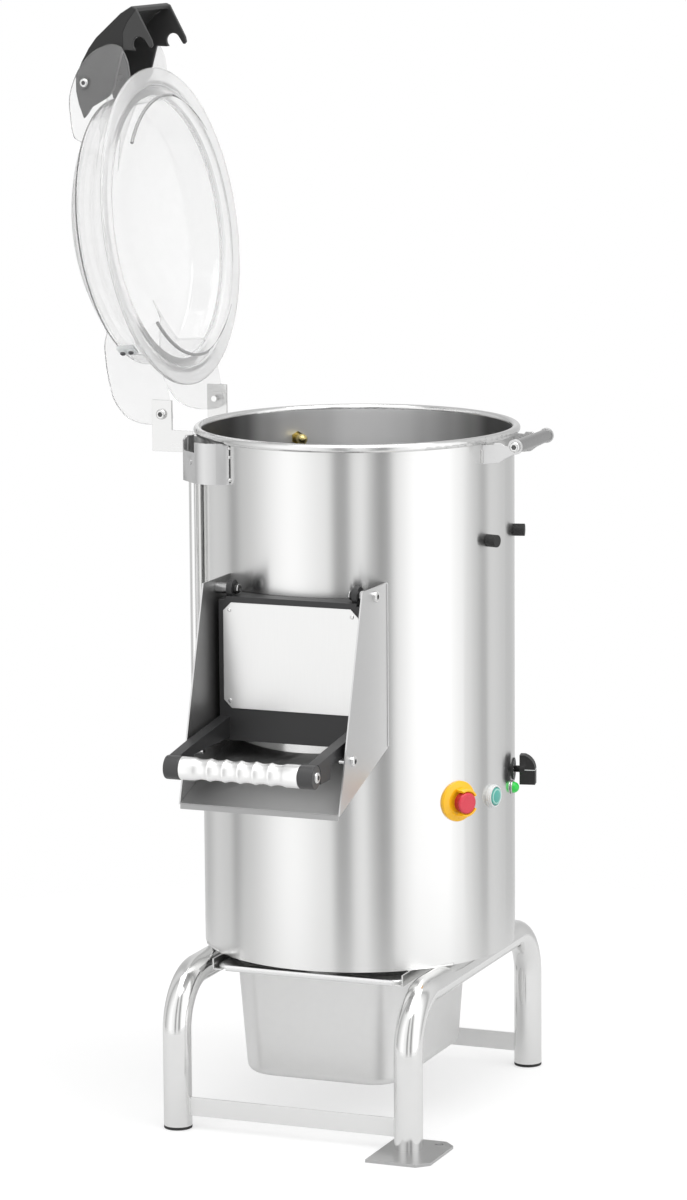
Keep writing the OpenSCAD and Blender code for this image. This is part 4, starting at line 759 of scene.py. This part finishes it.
def make_lid_moulding(place):
    """Dome, wall and flange in one. The flange is milky and the rest is clear."""
    arc = dome_arc(BALL_R)
    outer = shoulder((180.9, 56), (180.3, 58.5), arc[-1]) + list(reversed(arc))[1:]
    arc = dome_arc(BALL_R - LID_T)
    inner = arc[:-1] + shoulder(arc[-1], (176.6, 55.5), (177.2, 50))
    sheet = bmesh.new()
    profile = LID_OUTSIDE + outer + inner + LID_INSIDE + LID_OUTSIDE[:1]
    lathe(sheet, profile, LID_SEGMENTS, place)
    for face in sheet.faces:
        level = (OPEN_LID.inverted() @ face.calc_center_median()).z / MM - LID_Z
        face.material_index = 1 if level < FLANGE_TOP else 0
    moulding = add_piece("lid_moulding", sheet, "lid", "clear_plastic", ["lid_dome"], smooth=30)
    moulding.data.materials.append(MILKY)


def make_lid_ribs(place):
    """Two guide ribs under the flange: nearly invisible webs with a hazy bead along each free edge."""
    webs = bmesh.new()
    beads = bmesh.new()
    low, high = RIB_Z - RIB_BEAD, RIB_Z
    near, far = RIB_R - RIB_BEAD / 2, RIB_R + RIB_BEAD / 2
    web = filleted([(RIB_R - 0.4, high + 1), (RIB_R + 0.4, high + 1), (188.4, 3), (187.6, 3)], 0.3, 3)
    bead = filleted([(near, low), (far, low), (far, high), (near, high)], 1.9, 5)
    for web_start, bead_start in ((-RIB_TURN, -RIB_TURN), (180 - RIB_TURN, 174)):
        lathe(webs, web, 40, place, web_start, 2 * RIB_TURN)
        lathe(beads, bead, 40, place, bead_start, RIB_TURN + 6)
    add_piece("lid_guide_ribs", webs, "lid", "clear_plastic", smooth=40, material=FAINT_CLEAR)
    add_piece("lid_guide_edges", beads, "lid", "clear_plastic", smooth=40, material=HAZY)


def make_lid_plates():
    """The hinge fins on the left and the latch's ears on the right."""
    sheet = bmesh.new()

    def lid_point(x, z, y):
        return (OPEN_LID @ (Vector((x, y, LID_Z + z)) * MM)) / MM

    for side in (-1, 1):
        fin = [(HINGE[0] + u * FIN_LONG, v * FIN_TALL) for u, v in FIN]
        fin = trimmed_to_wall(fin, side * (FIN_Y + FIN_T / 2), -1)
        prism(sheet, fin, lid_point, side * FIN_Y, side * (FIN_Y + FIN_T))
        ear = [(EAR_TIP - EAR_LONG + u * EAR_LONG, v * EAR_TALL) for u, v in EAR]
        ear = trimmed_to_wall(ear, side * (EAR_Y + EAR_T / 2), 1)
        prism(sheet, ear, lid_point, side * EAR_Y, side * (EAR_Y + EAR_T))
    bmesh.ops.recalc_face_normals(sheet, faces=sheet.faces)
    plates = add_piece("lid_plates", sheet, "lid", "clear_plastic", smooth=30, material=THIN_CLEAR)
    round_edges(plates, 0.8, 2, 30)


def make_lid():
    """The clear lid, open as in the photo."""
    place = OPEN_LID @ Matrix.Translation((0, 0, LID_Z * MM))
    make_lid_moulding(place)
    make_lid_ribs(place)
    make_lid_plates()


# The latch's raised side, as shares of its reach and drop from its pivot, as in part.scad
LATCH_PIVOT = (206, 992)
LATCH_REACH = 92
LATCH_DROP = 105
LATCH_SIDE = [(-0.505, 0.095), (-0.309, 0.138), (-0.112, 0.152), (0.122, 0.126), (0.301, 0.022),
              (0.484, -0.105), (0.61, -0.222), (0.906, -0.606), (0.982, -0.772), (0.94, -0.83),
              (0.78, -0.685), (0.63, -0.60), (0.46, -0.585), (0.40, -0.565),
              (0.061, -0.435), (-0.143, -0.363), (-0.236, -0.29), (-0.278, -0.21), (-0.355, -0.035),
              (-0.455, 0.046)]
LATCH_SIDE_Y = (57.3, 58.1)


def make_latch_sides():
    """The raised part of the latch's two cheeks, darker as painted shade on the cheeks' flank."""
    sheet = bmesh.new()
    outline = [(LATCH_PIVOT[0] + u * LATCH_REACH, LATCH_PIVOT[1] + v * LATCH_DROP) for u, v in LATCH_SIDE]

    def latch_point(x, z, y):
        return (OPEN_LID @ (Vector((x, y, z)) * MM)) / MM

    for side in (-1, 1):
        prism(sheet, outline, latch_point, side * LATCH_SIDE_Y[0], side * LATCH_SIDE_Y[1])
    bmesh.ops.recalc_face_normals(sheet, faces=sheet.faces)
    body = body_of["lid_latch"]
    piece = add_piece("latch_sides", sheet, body, slot_of["lid_latch"], smooth=30, material=LATCH_PAINTED_SHADE)
    round_edges(piece, 0.3)


def trimmed_to_wall(outline, y, way):
    """The plate's outline with its inner side following the moulding's outside at y.
    way is -1 for a plate on the left and 1 for one on the right."""
    top = max(z for x, z in outline)
    edge = []
    steps = 24
    for k in range(steps + 1):
        z = 5 + (top - 5) * k / steps
        edge.append((way * math.sqrt(max(wall_radius(z) ** 2 - y ** 2, 1)) - way * 0.6, z))
    kept = [p for p in outline if way * p[0] > way * edge_at(edge, p[1]) and p[1] > 0.5]
    kept_top = max(z for x, z in kept)
    return smooth_outline(kept) + [p for p in edge if p[1] <= kept_top]


def edge_at(edge, z):
    """Where an edge given by (x, z) points from the bottom up lies at a height."""
    for (x0, z0), (x1, z1) in zip(edge, edge[1:]):
        if z0 <= z <= z1:
            return x0 + (x1 - x0) * (z - z0) / max(z1 - z0, 1e-6)
    return edge[0][0] if z < edge[0][1] else edge[-1][0]


def smooth_outline(points, steps=4):
    """A curve through the points, to take the corners off a plate's outline."""
    result = []
    count = len(points)
    for i in range(count - 1):
        p0, p1, p2, p3 = (Vector(points[min(max(i + k, 0), count - 1)]) for k in (-1, 0, 1, 2))
        for k in range(steps):
            t = k / steps
            result.append(tuple(0.5 * ((2 * p1) + (p2 - p0) * t + (2 * p0 - 5 * p1 + 4 * p2 - p3) * t * t
                                       + (3 * p1 - p0 - 3 * p2 + p3) * t ** 3)))
    return result + [points[-1]]


# Studio: what the metal mirrors, by azimuth in degrees from the camera's own direction
STUDIO_BANDS = [(-180, 0.72), (-150, 0.54), (-129, 0.75), (-112, 0.70), (-104, 0.40), (-94, 0.68),
                (-50, 1.24), (-22, 0.98), (-15, 0.38), (-8, 0.41), (-3, 0.92), (4, 1.00), (10, 0.64),
                (16, 0.33), (22, 0.40), (28, 1.00), (44, 1.30), (66, 1.36), (80, 1.14),
                (96, 0.74), (105, 0.48), (113, 0.80), (150, 0.60), (180, 0.72)]
STUDIO_PEAK = 1.4
WHITE = (1, 1, 1, 1)


def seen_directly(tree):
    """1 for what the camera sees straight or through the clear plastic, else 0."""
    ray = tree.add("ShaderNodeLightPath")
    return tree.math("MAXIMUM", ray.outputs["Is Camera Ray"], ray.outputs["Is Transmission Ray"])


def seen_in_metal(tree):
    """1 for what the metal mirrors, else 0."""
    return tree.add("ShaderNodeLightPath").outputs["Is Glossy Ray"]


def make_world():
    """White as seen directly, and a studio of paler and darker bands as the metal mirrors it."""
    world = bpy.data.worlds.new("studio")
    world.use_nodes = True
    bpy.context.scene.world = world
    tree = Tree(world.node_tree)
    place = tree.add("ShaderNodeTexCoord")
    split = tree.add("ShaderNodeSeparateXYZ", {"Vector": place.outputs["Generated"]})
    azimuth = tree.math("ARCTAN2", split.outputs["Y"], split.outputs["X"])
    camera_azimuth = math.atan2(CAMERA_AT.y, CAMERA_AT.x)
    offset = tree.math("SUBTRACT", azimuth, camera_azimuth + math.pi)
    share = tree.math("FRACT", tree.math("DIVIDE", offset, 2 * math.pi))
    bands = tree.ramp(share, [(a / 360 + 0.5, v / STUDIO_PEAK) for a, v in STUDIO_BANDS], "EASE")
    colour = tree.mix(seen_directly(tree), bands.outputs[0], [1 / STUDIO_PEAK] * 3 + [1])
    light = tree.add("ShaderNodeBackground", {"Color": colour, "Strength": STUDIO_PEAK})
    tree.add("ShaderNodeOutputWorld", {"Surface": light})


# The floor in metres, and how much its paint is lifted as seen directly and as mirrored
FLOOR_R = 1.6
FLOOR_FADE = (0.75, 1.35)
FLOOR_PAINT = (0.5, 0.5, 0.5, 1)
FLOOR_LIFT = 0.55
MIRROR_LIFT = 0.3


def make_floor():
    """A pale round floor that fades into the white background at its edge."""
    mesh = bpy.data.meshes.new("floor")
    sheet = bmesh.new()
    bmesh.ops.create_circle(sheet, cap_ends=True, radius=FLOOR_R, segments=96)
    sheet.to_mesh(mesh)
    floor = bpy.data.objects.new("floor", mesh)
    floor.location = (0, 0, -0.0005)
    bpy.context.scene.collection.objects.link(floor)
    material, tree = new_material("floor_paint")
    place = tree.add("ShaderNodeTexCoord")
    reach = tree.add("ShaderNodeVectorMath", {0: place.outputs["Object"]}, operation="LENGTH")
    fade = tree.add("ShaderNodeMapRange", {"Value": reach.outputs["Value"], "From Min": FLOOR_FADE[0],
                                           "From Max": FLOOR_FADE[1]}, interpolation_type="SMOOTHSTEP")
    paint = tree.add("ShaderNodeBsdfDiffuse", {"Color": FLOOR_PAINT})
    direct = tree.math("MULTIPLY", seen_directly(tree), FLOOR_LIFT)
    mirrored = tree.math("MULTIPLY", seen_in_metal(tree), MIRROR_LIFT)
    lift = tree.math("MAXIMUM", direct, mirrored)
    glow = tree.add("ShaderNodeEmission", {"Color": WHITE, "Strength": lift})
    lit = tree.add("ShaderNodeAddShader", {0: paint, 1: glow})
    edge = tree.add("ShaderNodeMixShader", {0: fade, 1: lit, 2: tree.add("ShaderNodeBsdfTransparent")})
    tree.add("ShaderNodeOutputMaterial", {"Surface": edge})
    mesh.materials.append(material)


LAMP_SIZE = 3.0
LAMP_WATTS = 60
LAMP_PLACE = (0.6, -0.8, 3.6)


def make_lamps():
    """One large soft lamp above, for the soft shadow at the feet."""
    data = bpy.data.lights.new("top_light", "AREA")
    data.shape = "RECTANGLE"
    data.size = LAMP_SIZE
    data.size_y = LAMP_SIZE
    data.energy = LAMP_WATTS
    lamp = bpy.data.objects.new("top_light", data)
    lamp.location = LAMP_PLACE
    lamp.rotation_euler = (-lamp.location).to_track_quat("-Z", "Y").to_euler()
    bpy.context.scene.collection.objects.link(lamp)


# Nodes that keep their CAD shape but get rounded edges, with the rounding in mm
ROUNDED = {
    "door_body": 1.2, "door_face_plate": 0.4, "handle_grip": 0.8, "handle_caps": 1.6,
    "chute_side_left": 0.5, "chute_side_right": 0.5, "chute_floor": 0.5, "hinge_plates": 0.5,
    "catch_plates": 0.5, "catch_rod": 1.5, "lid_latch": 1.8, "lid_magnet": 1.0, "switch_box": 0.5,
    "rubber_bumpers": 1.2, "floor_plates": 0.7, "foot_caps": 0.8, "cross_bars": 0.5,
    "estop_collar": 0.8, "button_bezels": 0.8, "start_button": 0.7,
    "timer_dial": 0.4, "timer_knob": 1.6, "door_bushes": 0.5, "stop_studs": 0.5, "abrasive_disc": 1.0,
    "disc_nut": 0.8, "water_inlet": 0.8, "cable_gland": 0.8, "motor_body": 0.6,
}


# The drum's inner face as a thin closed section, up to its rolled rim
SLEEVE = [(208.3, 716), (208.3, 914), (207.0, 914), (207.05, 909), (207.3, 903), (207.6, 893), (207.8, 880),
          (207.8, 716), (208.3, 716)]
CONDUIT_SLEEVE = [(8.0, 462), (8.65, 462), (8.65, 856), (8.0, 856), (8.0, 462)]


def make_sleeves():
    """The drum's inner face up to its rolled rim, and the smooth wiring tube."""
    sheet = bmesh.new()
    lathe(sheet, SLEEVE, 192)
    # Its finish paints a sheen on the inside, brighter and darker by angle round the drum
    add_piece("drum_inner_face", sheet, "frame_and_drum", "brushed_sheet", smooth=30, material=INNER_SHEET)
    turn = math.radians(CONDUIT_ANGLE)
    axis = Vector((CONDUIT_FROM_AXIS * math.cos(turn), CONDUIT_FROM_AXIS * math.sin(turn), 0))
    sheet = bmesh.new()
    lathe(sheet, CONDUIT_SLEEVE, 64, Matrix.Translation(axis * MM))
    bright = MATERIALS["satin_tube"]
    add_piece("conduit_sleeve", sheet, "frame_and_drum", "plain_sheet", smooth=30, material=bright)


def open_collar(collar, place):
    """Lowers the collar's wall on its left, where the mushroom head's side shows."""
    to_wall = place.inverted()
    for vert in collar.data.vertices:
        at = to_wall @ vert.co / MM
        angle = math.degrees(math.atan2(at.y, at.x)) % 360
        if at.z > 4.5 and 112 < angle < 248:
            at.z = 4.2
            vert.co = place @ (at * MM)


def slim(piece, place, share):
    """Draws a round piece in towards the axis of place, to leave room for its motion."""
    to_axis = place.inverted()
    for vert in piece.data.vertices:
        at = to_axis @ vert.co
        vert.co = place @ Vector((at.x * share, at.y * share, at.z))


# Profiles of the stop button as (radius, height above the wall)
STOP_CONE = [(15, 1.2), (26.8, 1.2), (26.8, 2.8), (19.6, 5.4), (15, 5.4)]
STOP_GUARD = [(14.9, 4.5), (18.9, 4.5), (18.3, 20), (15.3, 20)]
STOP_GUARD_STARTS = (30, -115)
STOP_GUARD_TURN = 84
STOP_SIDE = [(0, -12), (7.7, -12), (7.7, 8.3), (12.9, 8.3), (13.2, 8.6), (13.2, 16.2), (14.2, 16.8),
             (14.2, 18.2), (14.05, 18.6)]
STOP_FACE = [(14.1, 18.2), (14.1, 18.8), (13.7, 19.8), (12.9, 20.5), (11.5, 20.8), (7, 20.4), (0, 20.2)]


def make_stop_button(collar):
    """The mushroom head and, round it, the yellow cone with its two guards."""
    place = on_wall(*STOP_AT)
    open_collar(collar, place)
    sheet = bmesh.new()
    lathe(sheet, filleted(STOP_CONE, 0.6, 4), 96, place)
    for start in STOP_GUARD_STARTS:
        lathe(sheet, filleted(STOP_GUARD, 1.4, 5), 32, place, start, STOP_GUARD_TURN)
    add_piece("stop_guard", sheet, "frame_and_drum", "yellow_plastic", smooth=40)
    sheet = bmesh.new()
    lathe(sheet, STOP_SIDE, 64, place)
    # The head's side is a darker red than its face: painted shade
    add_piece("stop_head_side", sheet, "estop", "red_plastic", ["estop_button"], smooth=40, material=RED_PAINTED_SHADE)
    sheet = bmesh.new()
    lathe(sheet, STOP_FACE, 64, place)
    add_piece("stop_head_face", sheet, "estop", "red_plastic", smooth=60)


def make_start_button():
    """The start button's pale ring and green centre, and the white rim round it."""
    place = on_wall(*START_AT)
    sheet = bmesh.new()
    lathe(sheet, filleted([(8.2, 7.0), (10.3, 7.0), (10.3, 7.9), (8.2, 7.9)], 0.3, 3), 64, place)
    add_piece("start_ring", sheet, "start", "green_plastic", smooth=40, material=PALE_GREEN)
    sheet = bmesh.new()
    lathe(sheet, [(8.2, 7.0), (8.2, 8.0), (7.4, 8.3), (0, 8.5)], 48, place)
    add_piece("start_core", sheet, "start", "green_plastic", smooth=40)
    sheet = bmesh.new()
    lathe(sheet, filleted([(12.3, 0.4), (15.0, 0.4), (14.6, 6.6), (12.3, 6.6)], 0.8, 4), 64, place)
    add_piece("start_bezel_rim", sheet, "frame_and_drum", "grey_plastic", smooth=50)


HIGHLIGHT_HALF = 0.5
KNOB_TOP = 29.6
KNOB_SIDES = (-8.15, 7.7)
DIAL_TICKS = 12
DIAL_FIRST = 60
DIAL_SWEEP = 240
TICK_OUT = 14.2
TICK_HALF = 0.35
TICK_LEVELS = (1.4, 1.75)


def make_knob_highlight(place):
    """A painted highlight: the pale line over the knob's top and down both its sides."""
    def knob_point(u, w, v):
        return (place @ (Vector((v, u, w)) * MM)) / MM

    sheet = bmesh.new()
    over = [(-HIGHLIGHT_HALF, KNOB_TOP), (HIGHLIGHT_HALF, KNOB_TOP), (HIGHLIGHT_HALF, 30.15), (-HIGHLIGHT_HALF, 30.15)]
    prism(sheet, over, knob_point, -7.6, 7.6)
    down = [(-HIGHLIGHT_HALF, 10), (HIGHLIGHT_HALF, 10), (HIGHLIGHT_HALF, 29.8), (-HIGHLIGHT_HALF, 29.8)]
    for side in KNOB_SIDES:
        prism(sheet, down, knob_point, side, side + 0.45)
    bmesh.ops.recalc_face_normals(sheet, faces=sheet.faces)
    add_piece("knob_painted_highlight", sheet, "timer", "grey_plastic")


def make_dial_ticks(place):
    """Generic ticks round the timer's dial, every third one longer."""
    sheet = bmesh.new()
    for i in range(DIAL_TICKS):
        a = math.radians(DIAL_FIRST + DIAL_SWEEP * i / (DIAL_TICKS - 1))
        inner = TICK_OUT - (3.4 if i % 3 == 0 else 2.2)
        corners = [(inner, -TICK_HALF), (TICK_OUT, -TICK_HALF), (TICK_OUT, TICK_HALF), (inner, TICK_HALF)]
        flat = [(r * math.cos(a) - s * math.sin(a), r * math.sin(a) + s * math.cos(a)) for r, s in corners]
        rows = [[sheet.verts.new(place @ (Vector((x, y, lift)) * MM)) for x, y in flat]
                for lift in TICK_LEVELS]
        for k in range(4):
            m = (k + 1) % 4
            sheet.faces.new((rows[0][k], rows[0][m], rows[1][m], rows[1][k]))
        sheet.faces.new(rows[1])
        sheet.faces.new(reversed(rows[0]))
    bmesh.ops.recalc_face_normals(sheet, faces=sheet.faces)
    add_piece("dial_ticks", sheet, "frame_and_drum", "grey_plastic")


def make_controls():
    """What the start button and the timer show beyond the CAD model's plain solids."""
    make_start_button()
    make_knob_highlight(on_wall(*TIMER_AT))
    make_dial_ticks(on_wall(*TIMER_AT))


bpy.context.scene.view_settings.view_transform = "Standard"
MATERIALS = make_materials()

# Finishes of single pieces, beside those of the record's slots
HAZY = clear_moulding("hazy_plastic", (0.52, 0.52, 0.52), 0.6, 1.3)
MILKY = clear_moulding("milky_plastic", (0.93, 0.93, 0.93), 0.62, 1.35)
THIN_CLEAR = clear_moulding("thin_clear_plastic", (0.95, 0.95, 0.95), 0.90, 1.2)
FAINT_CLEAR = clear_moulding("faint_clear_plastic", (0.99, 0.99, 0.99), 0.98, 1.03)
# Dark grey for screw sockets: painted shade in the recess
RECESS_PAINTED_SHADE = plastic("recess_shade", (0.13, 0.13, 0.13), 0.6)
# A blacker copy of the latch's grey, as painted shade on its cheeks' flank
LATCH_PAINTED_SHADE = plastic("latch_painted_shade", (0.009, 0.009, 0.009), 0.46)
LATCH_GREY = plastic("latch_grey", (0.034, 0.034, 0.034), 0.42)
CAP_GREY = plastic("cap_grey", (0.052, 0.052, 0.053), 0.38)
# A darker copy of the red plastic, as painted shade on the mushroom head's side
RED_PAINTED_SHADE = plastic("red_plastic_painted_shade", (0.50, 0.012, 0.02), 0.35)
PALE_GREEN = plastic("pale_green_plastic", (0.42, 0.74, 0.66), 0.3)
INNER_SHEET = inner_sheet()
FACE_SHEET = steel("face_sheet", (0.80, 0.80, 0.795), 0.30, (900, 40, 40), 0.002)
DARK_STEEL = steel("dark_steel", (0.42, 0.42, 0.42), 0.25, (90, 90, 90), 0.01)
# A darker copy of the grey sheet, as painted shade on the chute's inner faces
SHEET_PAINTED_SHADE = steel("sheet_painted_shade", (0.42, 0.42, 0.42), 0.46, (30, 30, 900), 0.004)
PLATE_STEEL = steel("plate_steel", (0.52, 0.52, 0.52), 0.32, (60, 60, 60), 0.004)
BAR_STEEL = steel("bar_steel", (0.86, 0.86, 0.855), 0.42, (40, 40, 40), 0.003, 0.006, 0.0, 0.003)
OWN_FINISH = {
    "door_face_plate": FACE_SHEET, "door_bushes": DARK_STEEL, "catch_rod": DARK_STEEL,
    "floor_plates": PLATE_STEEL, "lid_latch": LATCH_GREY, "handle_caps": CAP_GREY, "cross_bars": BAR_STEEL,
    "switch_box": MATERIALS["grey_sheet"], "catch_plates": MATERIALS["grey_sheet"],
}
LAMP_BEZEL_REACH = 15

make_camera()
make_world()
make_floor()
make_lamps()
paint_nodes()
dressed = {node: dress(node, width, material=OWN_FINISH.get(node)) for node, width in ROUNDED.items()}
# Painted shade: the chute's inner faces, its floor's top and its front fold take the darker sheet
refinish(dressed["chute_side_left"], SHEET_PAINTED_SHADE, lambda face: face.normal.x > 0.9)
refinish(dressed["chute_side_right"], SHEET_PAINTED_SHADE, lambda face: face.normal.x < -0.9)
refinish(dressed["chute_floor"], SHEET_PAINTED_SHADE, lambda face: face.normal.z > 0.3 or face.normal.y < -0.5)
lamp_centre = on_wall(*LAMP_AT).translation
refinish(dressed["button_bezels"], MATERIALS["grey_sheet"],
         lambda face: (face.center - lamp_centre).length < LAMP_BEZEL_REACH * MM)
make_sleeves()
slim(dressed["start_button"], on_wall(*START_AT), 0.975)
make_stop_button(dressed["estop_collar"])
make_latch_sides()
make_small_screws()
make_pocket_welds()
make_lid()
make_pan()
make_runners()
make_screws()
make_welds()
make_controls()
